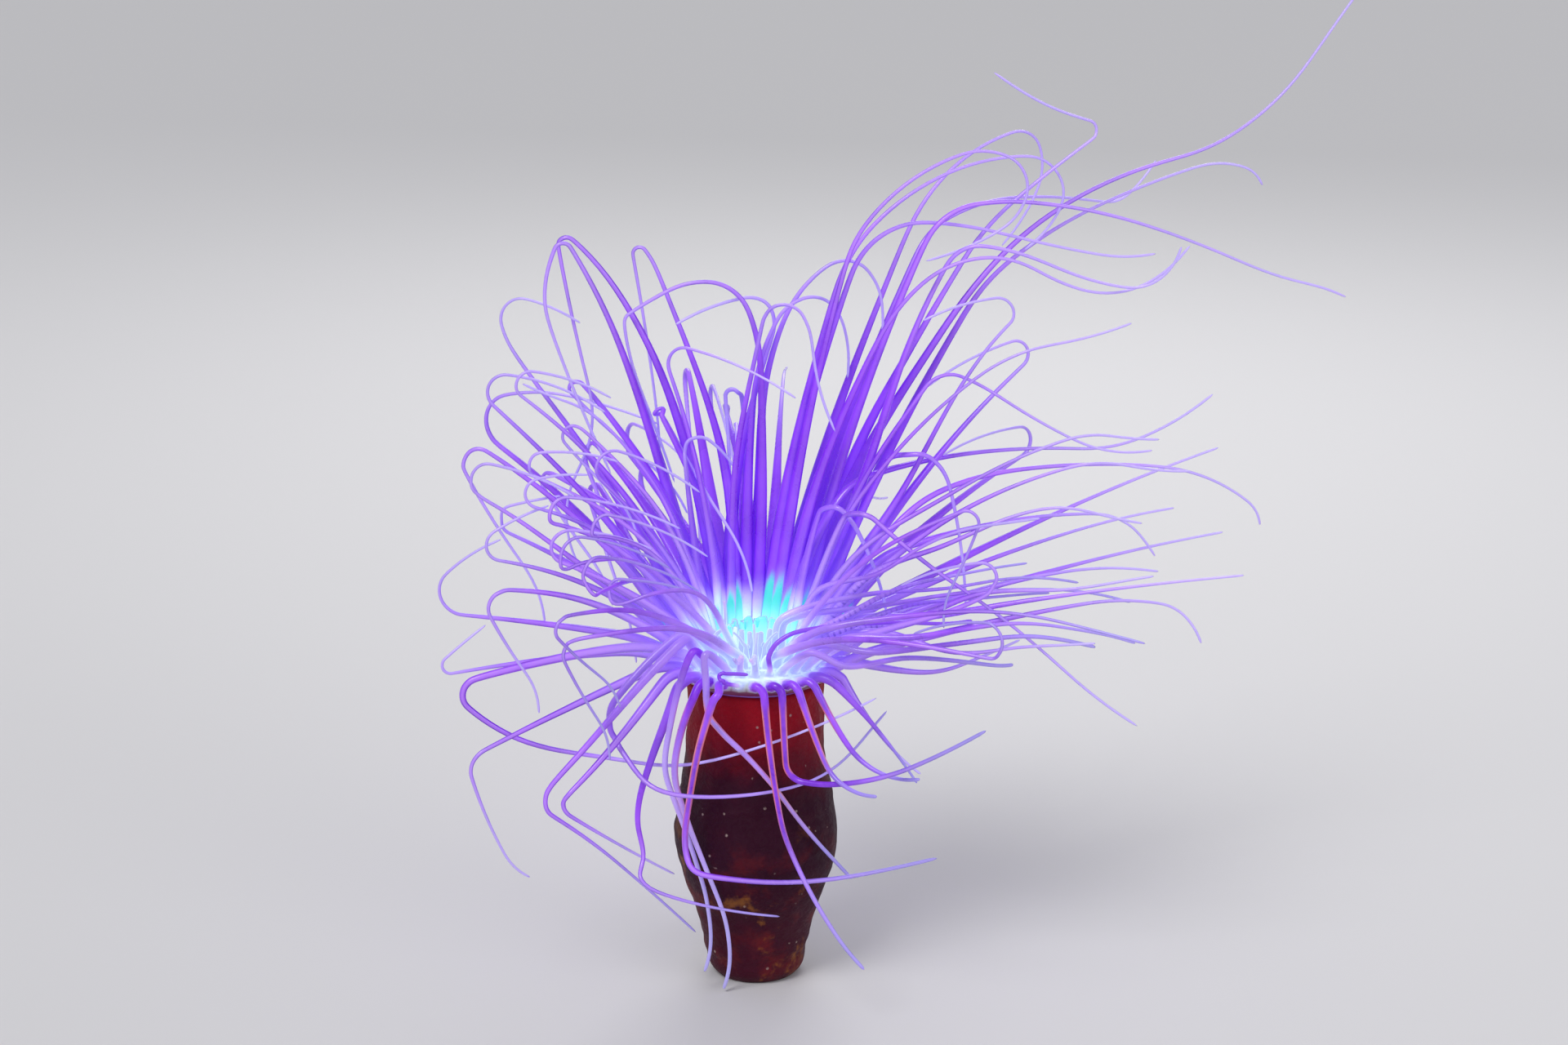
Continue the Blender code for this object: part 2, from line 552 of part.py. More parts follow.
def add_sector(column, paths, splits, collection, surface):
    """A wedge of the crown's base with one tentacle of each cycle."""
    pitch = 2 * math.pi / COLUMNS
    gap = GAP / RIM[-1][0]
    profile = [*RIM, (RIM[-1][0], BODY_TOP), (17.2, BODY_TOP + 0.4), (RIM[0][0] - 0.6, 83.5)]
    bm = spun_wedge(profile, column * pitch + gap / 2, pitch - gap, 1)
    azimuth = pitch * (column + 0.5)
    tangential = Vector((-math.sin(azimuth), math.cos(azimuth), 0))
    for cycle in range(CYCLES):
        points = paths[cycle, column]
        radii = crown_radii((cycle, column), points)
        cut = splits.get((cycle, column), len(points))
        face = cell_face(bm, points[0])
        way = Vector(points[1] - points[0]).normalized()
        sides = frames_along(points, way, tangential)
        signs = corner_signs(face, *sides[0])
        grow(bm, face, signs, points[:cut], radii[:cut], sides[:cut])
        if cut < len(points):
            name = f"tentacle_end_{column + 1:02d}_{cycle + 1}"
            add_tail(name, points[cut - 1 :], radii[cut - 1 :], sides[cut - 1 :], collection, surface)
    finish(bm, f"tentacles_{column + 1:02d}", collection, surface)


def add_tail(name, points, radii, sides, collection, surface):
    """The outer length of a long tentacle, as its own piece."""
    points = points.copy()
    step = points[1] - points[0]
    points[0] += step / np.linalg.norm(step) * GAP
    across, along = sides[0]
    turn = Matrix((across, along, across.cross(along))).transposed().to_4x4()
    start = Matrix.Translation(Vector(points[0]) * MM) @ turn @ Matrix.Rotation(math.pi / 4, 4, "Z")
    bm = bmesh.new()
    bmesh.ops.create_circle(bm, cap_ends=True, radius=CORNER * radii[0] * MM, segments=4, matrix=start)
    bm.faces.ensure_lookup_table()
    face = bm.faces[0]
    made = bmesh.ops.extrude_face_region(bm, geom=[face, *face.edges, *face.verts])["geom"]
    end = next(item for item in made if isinstance(item, bmesh.types.BMFace))
    signs = corner_signs(end, across, along)
    place_ring(end, signs, points[1], CORNER * radii[1], *sides[1])
    grow(bm, end, signs, points[1:], radii[1:], sides[1:])
    finish(bm, name, collection, surface)


def choose_splits(paths):
    """The ring at which each of the longest tentacles is parted."""
    spans = {cell: np.linalg.norm(np.diff(path, axis=0), axis=1).sum() for cell, path in paths.items()}
    longest = sorted(spans, key=spans.get, reverse=True)[:SPLIT_COUNT]
    splits = {}
    for cell in longest:
        lengths = np.linalg.norm(np.diff(paths[cell], axis=0), axis=1)
        share = np.cumsum(lengths) / lengths.sum()
        splits[cell] = int(np.searchsorted(share, SPLIT_SHARE)) + 2
    return splits


def settled_paths():
    """The crown's and the inner tentacles' rings, moved apart together."""
    crown, labials = tentacle_paths(), labial_paths()
    paths = [*crown.values(), *labials.values()]
    radii = [crown_radii(cell, path) for cell, path in crown.items()]
    radii += [radii_of(path, LABIAL_BASE, LABIAL_TIP, 1.0) for path in labials.values()]
    paths = spread(paths, radii)
    return dict(zip(crown, paths)), dict(zip(labials, paths[len(crown):]))


def main():
    for item in list(bpy.data.objects):
        bpy.data.objects.remove(item, do_unlink=True)
    collection = bpy.data.collections.new("tube_anemone")
    bpy.context.scene.collection.children.link(collection)
    felt = material("tube_felt", (0.12, 0.008, 0.02), 0.7)
    flesh = material("body_flesh", (0.55, 0.32, 0.62), 0.35)
    pale = material("disc_flesh", (0.7, 0.85, 0.95), 0.3)
    violet = material("tentacle_flesh", (0.30, 0.10, 0.85), 0.3)
    lilac = material("labial_flesh", (0.50, 0.42, 0.85), 0.3)
    add_tube(collection, felt)
    add_body(collection, flesh)
    add_disc(collection, pale)
    add_mouth(collection, pale)
    crown, labials = settled_paths()
    add_labials(labials, collection, lilac)
    splits = choose_splits(crown)
    for column in range(COLUMNS):
        add_sector(column, crown, splits, collection, violet)


main()
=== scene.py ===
import math
import random

import bmesh
import bpy
import numpy as np
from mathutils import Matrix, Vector, noise


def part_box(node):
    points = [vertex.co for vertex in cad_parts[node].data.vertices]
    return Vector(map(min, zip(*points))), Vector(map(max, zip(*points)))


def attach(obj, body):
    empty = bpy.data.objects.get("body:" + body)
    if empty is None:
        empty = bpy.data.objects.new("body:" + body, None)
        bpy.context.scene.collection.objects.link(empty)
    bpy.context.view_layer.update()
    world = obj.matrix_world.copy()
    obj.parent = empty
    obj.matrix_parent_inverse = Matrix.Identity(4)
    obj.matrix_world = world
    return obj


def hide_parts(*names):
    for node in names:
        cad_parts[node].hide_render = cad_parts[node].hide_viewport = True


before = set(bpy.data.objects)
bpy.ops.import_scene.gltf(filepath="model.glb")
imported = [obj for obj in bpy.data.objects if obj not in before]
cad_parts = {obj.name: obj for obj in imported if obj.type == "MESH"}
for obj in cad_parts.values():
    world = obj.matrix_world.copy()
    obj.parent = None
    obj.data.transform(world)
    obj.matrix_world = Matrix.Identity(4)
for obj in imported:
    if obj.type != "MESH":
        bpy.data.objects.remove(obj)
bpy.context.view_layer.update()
mm = 0.001  # shapes are planned in millimetres, as the solids are

# the middle of the tube's mouth, from the tube's own solid
tubeLow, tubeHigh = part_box("tube")
mouthMiddle = Vector(((tubeLow[0] + tubeHigh[0]) / 2, (tubeLow[1] + tubeHigh[1]) / 2, tubeHigh[2]))


# view, floor and light

viewpoint = {
    "aim": (7.4, 0, 41.9),  # from the middle of the mouth, in millimetres
    "distance": 1000,
    "elevation": 17,
    "lens": 89,
    "sensor": 36,
}


def addObject(name, data):
    made = bpy.data.objects.new(name, data)
    bpy.context.scene.collection.objects.link(made)
    return made


def addCamera():
    tilt = math.radians(viewpoint["elevation"])
    away = Vector((0, -math.cos(tilt), math.sin(tilt))) * viewpoint["distance"] * mm
    data = bpy.data.cameras.new("viewCamera")
    data.lens = viewpoint["lens"]
    data.sensor_width = viewpoint["sensor"]
    made = addObject("viewCamera", data)
    made.location = mouthMiddle + Vector(viewpoint["aim"]) * mm + away
    made.rotation_euler = (math.pi / 2 - tilt, 0, 0)
    bpy.context.scene.camera = made


studio = {
    "floorSize": 14,
    "floorColour": (0.66, 0.65, 0.66),
    "floorRoughness": 0.7,
    "skyColour": (0.93, 0.95, 1.0),
    "skyStrength": 0.42,
    # name, kind, place, what it points at, power, and size in metres or, for the sun, degrees
    "lamps": (
        ("key", "SUN", (-0.5, -0.65, 1.0), (0, 0, 0), 1.5, 24),
        ("fill", "AREA", (0.7, -0.6, 0.5), (0, 0, 0.1), 1.6, 0.5),
        ("rim", "AREA", (0.1, 0.7, 0.6), (0, 0, 0.12), 2.2, 0.5),
    ),
}


def addStudio():
    scene = bpy.context.scene
    scene.view_settings.view_transform = "Standard"
    scene.world = bpy.data.worlds.new("studioSky")
    scene.world.use_nodes = True
    sky = {"Color": (*studio["skyColour"], 1), "Strength": studio["skyStrength"]}
    fill(scene.world.node_tree, "Background", sky)
    for name, kind, place, towards, power, size in studio["lamps"]:
        lamp = addObject(name, bpy.data.lights.new(name, kind))
        lamp.data.energy = power
        if kind == "SUN":
            lamp.data.angle = math.radians(size)
        else:
            lamp.data.size = size
        lamp.location = place
        lamp.rotation_euler = (Vector(towards) - Vector(place)).to_track_quat("-Z", "Y").to_euler()
    bpy.ops.mesh.primitive_plane_add(size=studio["floorSize"], location=(0, 0, 0))
    floor = bpy.context.object
    floor.name = "floor"
    look = {"Base Color": (*studio["floorColour"], 1), "Roughness": studio["floorRoughness"]}
    floor.data.materials.append(newMaterial("paleFloor"))
    fill(floor.active_material.node_tree, "Principled BSDF", look)


# nodes that the materials are made of


def newMaterial(name):
    made = bpy.data.materials.new(name)
    made.use_nodes = True
    return made


def fill(tree, node, inputs):
    # links or sets a node's inputs
    node = tree.nodes[node] if isinstance(node, str) else node
    for key, value in inputs.items():
        if isinstance(value, bpy.types.NodeSocket):
            tree.links.new(value, node.inputs[key])
        else:
            node.inputs[key].default_value = value


def addNode(tree, kind, inputs=None, **settings):
    made = tree.nodes.new("ShaderNode" + kind)
    for name, value in settings.items():
        setattr(made, name, value)
    fill(tree, made, inputs or {})
    return made


def mixed(tree, share, first, second):
    # two colours, by a share from 0 to 1
    colours = {6 + n: (*c, 1) if isinstance(c, tuple) else c for n, c in enumerate((first, second))}
    return addNode(tree, "Mix", {0: share, **colours}, data_type="RGBA").outputs[2]


def maths(tree, operation, first, second=0.0, clamp=False):
    return addNode(tree, "Math", {0: first, 1: second}, operation=operation, use_clamp=clamp).outputs[0]


def times(tree, first, second):
    return maths(tree, "MULTIPLY", first, second)


def ranged(tree, value, low, high, toLow=0.0, toHigh=1.0):
    # a smooth step from one value to another
    inputs = {"Value": value, "From Min": low, "From Max": high, "To Min": toLow, "To Max": toHigh}
    return addNode(tree, "MapRange", inputs, interpolation_type="SMOOTHSTEP").outputs["Result"]


def makePatchGroup():
    # soft patches of a size, as a mask
    group = bpy.data.node_groups.new("softPatches", "ShaderNodeTree")
    for name in ("Vector", "Scale", "Least", "Most", "Mask"):
        kind = "NodeSocketVector" if name == "Vector" else "NodeSocketFloat"
        way = "OUTPUT" if name == "Mask" else "INPUT"
        group.interface.new_socket(name, in_out=way, socket_type=kind)
    given = group.nodes.new("NodeGroupInput").outputs
    inputs = {"Vector": given["Vector"], "Scale": given["Scale"], "Detail": 5.0, "Roughness": 0.6}
    cloud = addNode(group, "TexNoise", inputs).outputs[0]
    mask = ranged(group, cloud, given["Least"], given["Most"])
    group.links.new(mask, group.nodes.new("NodeGroupOutput").inputs["Mask"])
    return group


def patches(tree, group, vector, scale, least, most):
    inputs = {"Vector": vector, "Scale": scale, "Least": least, "Most": most}
    return addNode(tree, "Group", inputs, node_tree=group).outputs["Mask"]


# the crown's plan, in millimetres

crown = {
    "columns": 30,  # tentacles round each cycle
    # radius and height of the edges between cycles, from the rim inwards
    "rim": ((20.5, 84.6), (17.7, 87.4), (14.9, 88.7), (12.2, 89.0), (9.8, 88.6)),
    "innerRim": ((7.5, 88), (4.7, 88)),
    "inner": 4,  # the cycle round the mouth, which comes last in each row
    "rootTilt": (66, 42, 18, 5, 0),  # how far the roots lean out, in degrees
    "rootRise": (3.4, 3.4, 3.4, 3.4, 2.2),
    "baseRadius": (1.6, 1.6, 1.42, 1.12, 1.3),
    "taper": (1.9, 1.9, 1.9, 1.9, 1.0),
    "leastRings": (5, 5, 5, 5, 3),
    "tipRadius": 0.34,
    # where the azimuth's sine is below this they hang at the front, and are thinner and blunter
    "frontBelow": -0.72,
    "frontBase": 0.72,
    "frontTip": 0.5,
    "frontTaper": 1.4,
    "slender": {(0, 258): 0.5, (1, 282): 0.6},  # by cycle and azimuth: base radius over the usual
    # a step of a path, and then a ring of the solids, for each so much length or turning
    "runPerStep": 2.5,
    "turnPerStep": 10,
    "turnPerRing": 46,
    "runPerRing": 54,
    "mostRings": 13,
    # how the paths are parted
    "rounds": 220,
    "clearance": 0.6,
    "push": 1.3,  # over the one that would just part two paths
    "lookEvery": 20,  # rounds between searches for lengths that are this near
    "lookRoom": 9,
    # at a tentacle's first rings: its room over its own radius, and then how freely it moves
    "roomAt": ((0, 1, 2, 3), (0.8, 1.1, 1.36, 1.32)),
    "freedomAt": ((1, 2, 3), (0, 0.6, 1)),
}

# what the tentacles keep clear of: the tube's outline and the crown's base
keepOut = {
    "outline": (
        (10.5, 0), (12.7, 2.7), (13.8, 8.2), (15.6, 16.5), (19.4, 27),
        (21.6, 37.5), (20.9, 48), (18.8, 59), (18, 72.5), (18.4, 82),
    ),
    "tubeRoom": 1.4,
    "tubeTop": 78.4,
    "shoulder": 87,
    "crownTop": 90.4,
    "rimRoom": 0.6,
    "floorRoom": 1.02,  # over the section's own
}

# Tentacles that give the crown its outline. Each has its cycle, the place of its root round the
# rim and the heading it takes, both in degrees from the right through the back, and then its rise
# in degrees and its run by turns, from root to tip. A rise past 90 has curled back over the heading.
shaped = (
    # tall hooks on the left
    (2, 128, 172, 82, 66, 72, 30, 56, 16, 40, 6, -100, 36, -105, 24, -60, 30, -120),
    (1, 140, 186, 80, 80, 70, 30, 60, 5, -65, 10, -84, 10, -108, 44, -114),
    (3, 118, 165, 86, 54, 76, 44, 70, 6, 45, 5, -100, 46, -95, 12, -85),
    (3, 95, 178, 94, 70, 88, 16, 70, 14, 0, 10, -28, 12, -35, 3, -95, 18, -108, 28, -105),
    # hoops on the left that curl up and over
    (1, 152, 168, 64, 74, 52, 14, 55, 8, 75, 12, 190, 16, 212),
    (2, 160, 190, 70, 56, 50, 26, 40, 10, 190, 22, 214),
    (1, 166, 172, 62, 52, 46, 28, 42, 12, 185, 28, 215),
    (0, 150, 160, 56, 52, 38, 20, 32, 18, 165, 18, 188, 26, 198),
    (2, 178, 196, 62, 30, 45, 30, 18, 10, 170, 14, 190),
    (0, 162, 178, 52, 38, 28, 16, 24, 10, 165, 14, 172),
    (1, 186, 192, 48, 36, 24, 20, 12, 10, 150, 16, 166),
    (0, 174, 176, 35, 15, 8, 41, 4, 15, 135, 18, 158),
    (0, 186, 194, 28, 15, 0, 43, -6, 6, 140, 14, 145),
    (3, 198, 178, 58, 34, 44, 30, 30, 10, 175, 20, 200),
    # tentacles that leave the front left, sink and come back under themselves
    (1, 208, 190, 25, 18, -4, 39, -12, 10, -135, 32, -168, 33, -195, 42, -212),
    (2, 222, 200, 30, 10, -30, 20, -45, 12, -140, 22, -168, 26, -195, 26, -216),
    (0, 198, 200, 10, 8, -18, 46, -22, 9, -105, 24, -116, 10, -150),
    (1, 222, 204, 10, 6, -36, 44, -36, 10, -142, 24, -134, 32, -132),
    (0, 210, 210, 0, 6, -46, 36, -36, 9, -142, 38, -146),
    (0, 222, 214, -10, 5, -74, 26, -58, 20, -118, 6, -148, 38, -166),
    # tentacles that hang before the tube
    (0, 234, 198, -20, 5, -60, 17, -84, 10, -113, 34, -110, 14, -90, 13, -66),
    (1, 238, 206, 0, 8, -58, 18, -86, 10, -112, 30, -106, 13, -88, 14, -62),
    (1, 230, 198, 0, 6, -72, 10, -112, 8, -140, 20, -118, 30, -128),
    (0, 246, 192, 0, 4, -84, 34, -76, 8, -92, 10, -168, 34, -180, 28, -188),
    (0, 270, 330, 0, 4, -86, 32, -78, 8, -64, 26, -50, 12, -36),
    (0, 282, 334, 0, 4, -88, 18, -86, 7, -2, 9, 12, 24, 30, 24, 36),
    (0, 296, 318, 0, 4, -66, 18, -58, 8, -20, 12, 16),
    (0, 310, 326, 0, 4, -60, 16, -48, 10, -16, 14, 20),
    (0, 318, 332, 0, 6, -38, 20, -46, 12, -52),
    (0, 326, 340, 0, 4, -55, 18, -50, 14, -30),
    (1, 294, 4, 34, 8, 6, 22, -6, 24, -10, 6, 10),
    (3, 294, 8, 48, 8, 26, 26, 14, 30, 2, 20, -14),
    (3, 306, 2, 54, 8, 22, 30, 10, 34, 0, 22, -20),
    (1, 306, 356, 38, 12, 10, 36, 4, 30, -14),
    (1, 318, 352, 36, 14, 12, 46, 4, 26, -18),
    # on the disc's front: a curl, one drawn out to a thread, two that lean far right, and short ones
    (0, 258, 182, 5, 3.6, 10, 1.5, 90, 1.8, 174, 6.5, 184),
    (1, 282, 10, 90, 2.5, 70, 3, 24, 5, 10, 26, 6, 20, 18),
    (2, 304, 12, 58, 6, 32, 12, 20, 26, 14, 24, 4),
    (2, 318, 4, 50, 6, 24, 14, 12, 26, 10, 22, 0),
    (2, 234, 160, 98, 8, 94, 7, 84),
    (3, 258, 215, 80, 4, 60, 4, 36),
    (3, 270, 100, 86, 4, 74, 4, 50),
    (3, 282, 330, 80, 4, 60, 4, 36),
    (2, 270, 70, 88, 4, 74, 3, 60),
    (1, 258, 250, 62, 3, 44, 3, 20),
    (1, 270, 255, 62, 3, 44, 3, 20),
    # long arcs on the right
    (2, 10, 12, 64, 32, 50, 18, 22, 24, 4, 38, -8, 28, -40, 8, -85),
    (1, 20, 6, 70, 24, 42, 10, 18, 28, 8, 22, -2, 14, -50, 8, -60),
    (3, 40, 20, 80, 36, 56, 12, 14, 26, 2, 34, -8, 18, 16, 24, 36),
    (2, 28, 350, 62, 52, 64, 12, -40, 8, -76, 34, -88),
    (3, 20, 10, 67, 74, 58, 10, -24, 12, -36, 24, -28, 22, 8),
    (1, 8, 16, 46, 16, 21, 58, 12, 28, 4),
    (0, 14, 8, 44, 16, 16, 58, 12, 34, 8),
    (1, 356, 352, 42, 15, 14, 56, 10, 40, 8),
    (0, 28, 18, 48, 18, 24, 68, 18, 34, 14),
    (0, 0, 358, 46, 22, 20, 40, 12, 26, -8),
    (1, 344, 348, 40, 20, 16, 50, 14, 20, 12),
    (0, 346, 354, 32, 14, 18, 52, 12, 20, -8, 8, -48, 8, -72),
    (3, 356, 345, 75, 36, 64, 9, -46, 26, -30, 36, -40, 24, -28),
    (2, 336, 342, 24, 8, 4, 34, 6, 36, 10),
    (0, 336, 346, 6, 6, -10, 14, 0, 12, 26, 18, 30),
    # the highest ones, at the right and the back
    (2, 52, 18, 65, 88, 58, 26, 40, 30, 22, 24, 9, 16, 28, 30, 54, 42, 50),
    (3, 66, 10, 83, 99, 75, 12, 52, 30, 18, 13, -25, 14, -110, 10, -150, 22, -170),
    (2, 64, 24, 75, 107, 66, 16, 46, 26, 12, 10, -70, 12, -115, 18, -138),
    (1, 56, 12, 71, 107, 60, 20, 40, 26, 34, 6, 165, 16, 150, 14, 142),
    (2, 40, 16, 77, 107, 66, 18, 5, 14, -8, 33, -20, 32, -26, 20, -14, 12, -30),
    (1, 70, 30, 73, 104, 62, 14, 20, 22, -4, 28, -14, 9, 36, 12, 54),
    (1, 42, 352, 77, 106, 64, 12, -6, 17, -24, 20, -6, 11, 45, 9, 80),
    (3, 52, 356, 79, 82, 66, 20, 42, 18, 4, 14, -32, 12, -16, 17, 30, 15, 58),
    (0, 60, 16, 68, 96, 58, 18, 36, 26, 22, 30, 14, 14, -20, 8, -70),
    (3, 76, 14, 82, 92, 74, 20, 44, 24, 20, 20, -2, 10, -50, 12, -120, 14, -150),
    (2, 76, 8, 82, 96, 72, 14, 30, 12, -4, 20, -16, 26, -12, 16, 10),
    # upright ones in the middle
    (3, 110, 20, 91, 62, 85, 22, 60, 9, 10, 9, -50, 6, -72, 15, -98),
    (2, 84, 12, 87, 55, 90, 24, 70, 22, 34, 12, -50, 10, -84, 14, -100),
    (3, 80, 350, 86, 84, 82, 6, 20, 8, -60, 8, -86, 24, -64),
    (2, 104, 170, 90, 62, 88, 6, -95, 22, -92),
    (2, 146, 10, 98, 50, 95, 4, 20, 5, -40, 10, -60),
    (3, 60, 340, 82, 34, 72, 8, -45, 6, -62, 24, -80),
)

# the short inner (labial) tentacles round the mouth: place of the root, heading, rises and runs
innerShaped = (
    (6, 40, 84, 2.6, 70, 2, 40),
    (42, 30, 92, 2.6, 80, 1.8, 60),
    (78, 100, 95, 2.2, 84, 2, 60),
    (114, 140, 96, 2.6, 84, 1.4, 60),
    (150, 170, 88, 2.6, 76, 2, 46),
    (186, 190, 84, 3, 66, 2, 30),
    (210, 170, 96, 3, 90, 2, 80),
    (236, 90, 88, 2.4, 94, 2, 100),
    (262, 250, 84, 2.2, 60, 2, 20),
    (282, 300, 80, 2.2, 70, 2, 50),
    (306, 10, 86, 2.4, 60, 2.4, 36),
    (330, 2, 76, 2.4, 60, 2.4, 30),
)


def ramp(value, start, full):
    # 0 at the start, and 1 where it's full
    return np.clip((value - start) / (full - start), 0, 1)


def columnAzimuth(column):
    return 2 * math.pi * (column + 0.5) / crown["columns"]


def onCircle(radius, azimuth, height):
    return np.array((radius * math.cos(azimuth), radius * math.sin(azimuth), height))


def cellCentre(cycle, column):
    # the middle of a cell on the crown's upper face, and its azimuth
    outer, inner = crown["innerRim"] if cycle == crown["inner"] else crown["rim"][cycle : cycle + 2]
    azimuth = columnAzimuth(column)
    return onCircle((outer[0] + inner[0]) / 2, azimuth, (outer[1] + inner[1]) / 2), azimuth


def walk(start, heading, legs):
    # close-set points of a path whose rise changes evenly along each run
    points = [start]
    rises, runs = legs[::2], legs[1::2]
    for rise, following, run in zip(rises, rises[1:], runs):
        need = max(run / crown["runPerStep"], abs(following - rise) / crown["turnPerStep"])
        steps = max(2, math.ceil(need))
        for step in range(steps):
            angle = math.radians(rise + (following - rise) * (step + 0.5) / steps)
            points.append(points[-1] + onCircle(math.cos(angle), heading, math.sin(angle)) * run / steps)
    return np.array(points)


def lengthsOf(points):
    return np.linalg.norm(np.diff(points, axis=0), axis=1)


def needAlong(points, plan):
    # how many rings a path needs up to each of its points
    lengths = lengthsOf(points)
    ways = np.diff(points, axis=0) / lengths[:, None]
    turns = np.degrees(np.arccos(np.clip((ways[1:] * ways[:-1]).sum(1), -1, 1)))
    turns = (np.append(turns, 0) + np.append(0, turns)) / 2
    return np.append(0, np.cumsum(turns / plan["turnPerRing"] + lengths / plan["runPerRing"]))


def between(points, places):
    # points at fractional places along a row of points
    index = np.arange(len(points))
    return np.stack([np.interp(places, index, points[:, axis]) for axis in range(3)], 1)


def coarsePlaces(points, cycle):
    # where the solids' rings lie along a path
    need = needAlong(points, crown)
    count = min(crown["mostRings"], max(crown["leastRings"][cycle], round(need[-1])))
    return np.interp(np.linspace(0, need[-1], count + 1), need, np.arange(len(points)))


# the tentacles that aren't shaped one by one: each pair is a range of degrees or millimetres
loose = {
    "seed": 1000,
    # by the azimuth's sine: the front is below the first, and the back above the others
    "front": -0.45,
    "back": (0.6, 0.75),  # for the outer cycles and the inner ones
    # over the tube's mouth: rise, flick, three runs and heading
    "fall": ((-78, -62), (-30, 14), (18, 32), (9, 14), (10, 22), (-12, 12)),
    # the others: rise, heading and stem
    "outerLean": ((-10, 10), (-20, 20), (58, 88)),
    "innerLean": ((-6, 7), (25, 85), (56, 96)),
    "sideLean": ((-9, 9), (-14, 14)),
    # on the left and the right: stem, share with a tight bend, and share with that or a hoop
    "stem": ((50, 80), (60, 98)),
    "bent": (0.45, 0.16),
    "hooped": (0.9, 0.45),
    "tail": (26, 54),
    # the rise that each turns to, and the run that it turns over
    "bend": ((-112, -88), (6, 11)),
    "hoop": ((176, 200), (10, 16)),
    "droop": (34, 70),
}


def looseLegs(cycle, azimuth, rng):
    # heading and legs by where the tentacle grows
    def draw(name):
        return [rng.uniform(*pair) for pair in loose[name]]

    side, back = math.cos(azimuth), math.sin(azimuth)
    left, right, front = side < 0, side >= 0.2, back < loose["front"]
    if front and cycle == 0:
        # the outermost ones at the front fall over the tube's mouth
        low, flick, fall, bend, rest, turn = draw("fall")
        return math.degrees(azimuth) + turn, (14, 8, low, fall, low - 8, bend, flick, rest, flick + 16)
    if back > loose["back"][0] and cycle < 2:
        # the outer ones at the back lean away
        rise, turn, stem = draw("outerLean")
        rise += 28 + 12 * cycle
        heading = math.degrees(azimuth) + turn
    elif back > loose["back"][1]:
        # the inner ones there stand up, arch over and hang
        lean, turn, stem = loose["innerLean"]
        rise = 58 + 8 * cycle + rng.uniform(*lean)
        heading = 90 + rng.choice((-1, 1)) * rng.uniform(*turn)
        stem = rng.uniform(*stem)
    else:
        # the others lean out to their own side
        rise, turn = draw("sideLean")
        rise += 24 + 11 * cycle + 32 * back
        heading = (180 - 34 * back if left else 34 * back) + turn
        stem = rng.uniform(*loose["stem"][not left]) * (0.75 if front else 1)
    way, tail = rng.random(), rng.uniform(*loose["tail"])
    start = (rise + 15, stem * 0.35, rise + 4, stem * 0.65)
    if way < loose["bent"][right]:
        # a tight bend, and a tail that hangs
        drop, bend = draw("bend")
        drop -= 24 * left
        legs = (*start, rise - 12, bend, drop, tail * 0.6, drop - 8, tail * 0.4, drop + 26)
    elif way < loose["hooped"][right]:
        # a hoop that curls up and over
        curl, bend = draw("hoop")
        legs = (*start, rise - 10, bend, curl, tail * 0.7, curl + 22)
    else:
        # a long open arc, flatter at the front
        tail *= 0.55 if left else 0.9
        droop = 0.5 if front else 1
        last = rise - rng.uniform(*loose["droop"]) * droop
        legs = (*start, rise - 22 * droop, tail * 0.5, rise - 50 * droop, tail * 0.5, last)
    return heading, legs


def tentacleWalks():
    # the fine path of every tentacle, by cycle and column, with those round the mouth last
    free = [(cycle, column) for cycle in range(crown["inner"]) for column in range(crown["columns"])]
    plans = {}
    for cycle, azimuth, heading, *legs in shaped:
        wanted = math.radians(azimuth)
        cells = [cell for cell in free if cell[0] == cycle] or free
        cell = min(cells, key=lambda c: 1 - math.cos(columnAzimuth(c[1]) - wanted))
        free.remove(cell)
        plans[cell] = (heading, legs)
    for cycle, column in free:
        rng = random.Random(loose["seed"] + crown["columns"] * cycle + column)
        plans[cycle, column] = looseLegs(cycle, columnAzimuth(column), rng)
    plans = dict(sorted(plans.items()))
    for azimuth, heading, *legs in innerShaped:
        plans[crown["inner"], azimuth * crown["columns"] // 360] = (heading, legs)
    walks = {}
    for cell, (heading, legs) in plans.items():
        centre, azimuth = cellCentre(*cell)
        tilt = math.radians(crown["rootTilt"][cell[0]])
        root = centre + crown["rootRise"][cell[0]] * onCircle(math.sin(tilt), azimuth, math.cos(tilt))
        walks[cell] = (centre, walk(root, math.radians(heading), legs))
    return walks


def radiiOf(cell, points):
    # the radius at each ring of the tentacle that grows from a cell
    cycle, azimuth = cell[0], columnAzimuth(cell[1])
    base, tip, taper = crown["baseRadius"][cycle], crown["tipRadius"], crown["taper"][cycle]
    base *= crown["slender"].get((cycle, round(math.degrees(azimuth))), 1)
    if cycle < 2 and math.sin(azimuth) < crown["frontBelow"]:
        base, tip, taper = base * crown["frontBase"], crown["frontTip"], crown["frontTaper"]
    lengths = lengthsOf(points)
    share = np.append(0, np.cumsum(lengths)) / lengths.sum()
    return tip + (base - tip) * np.maximum(1 - share, 0) ** taper


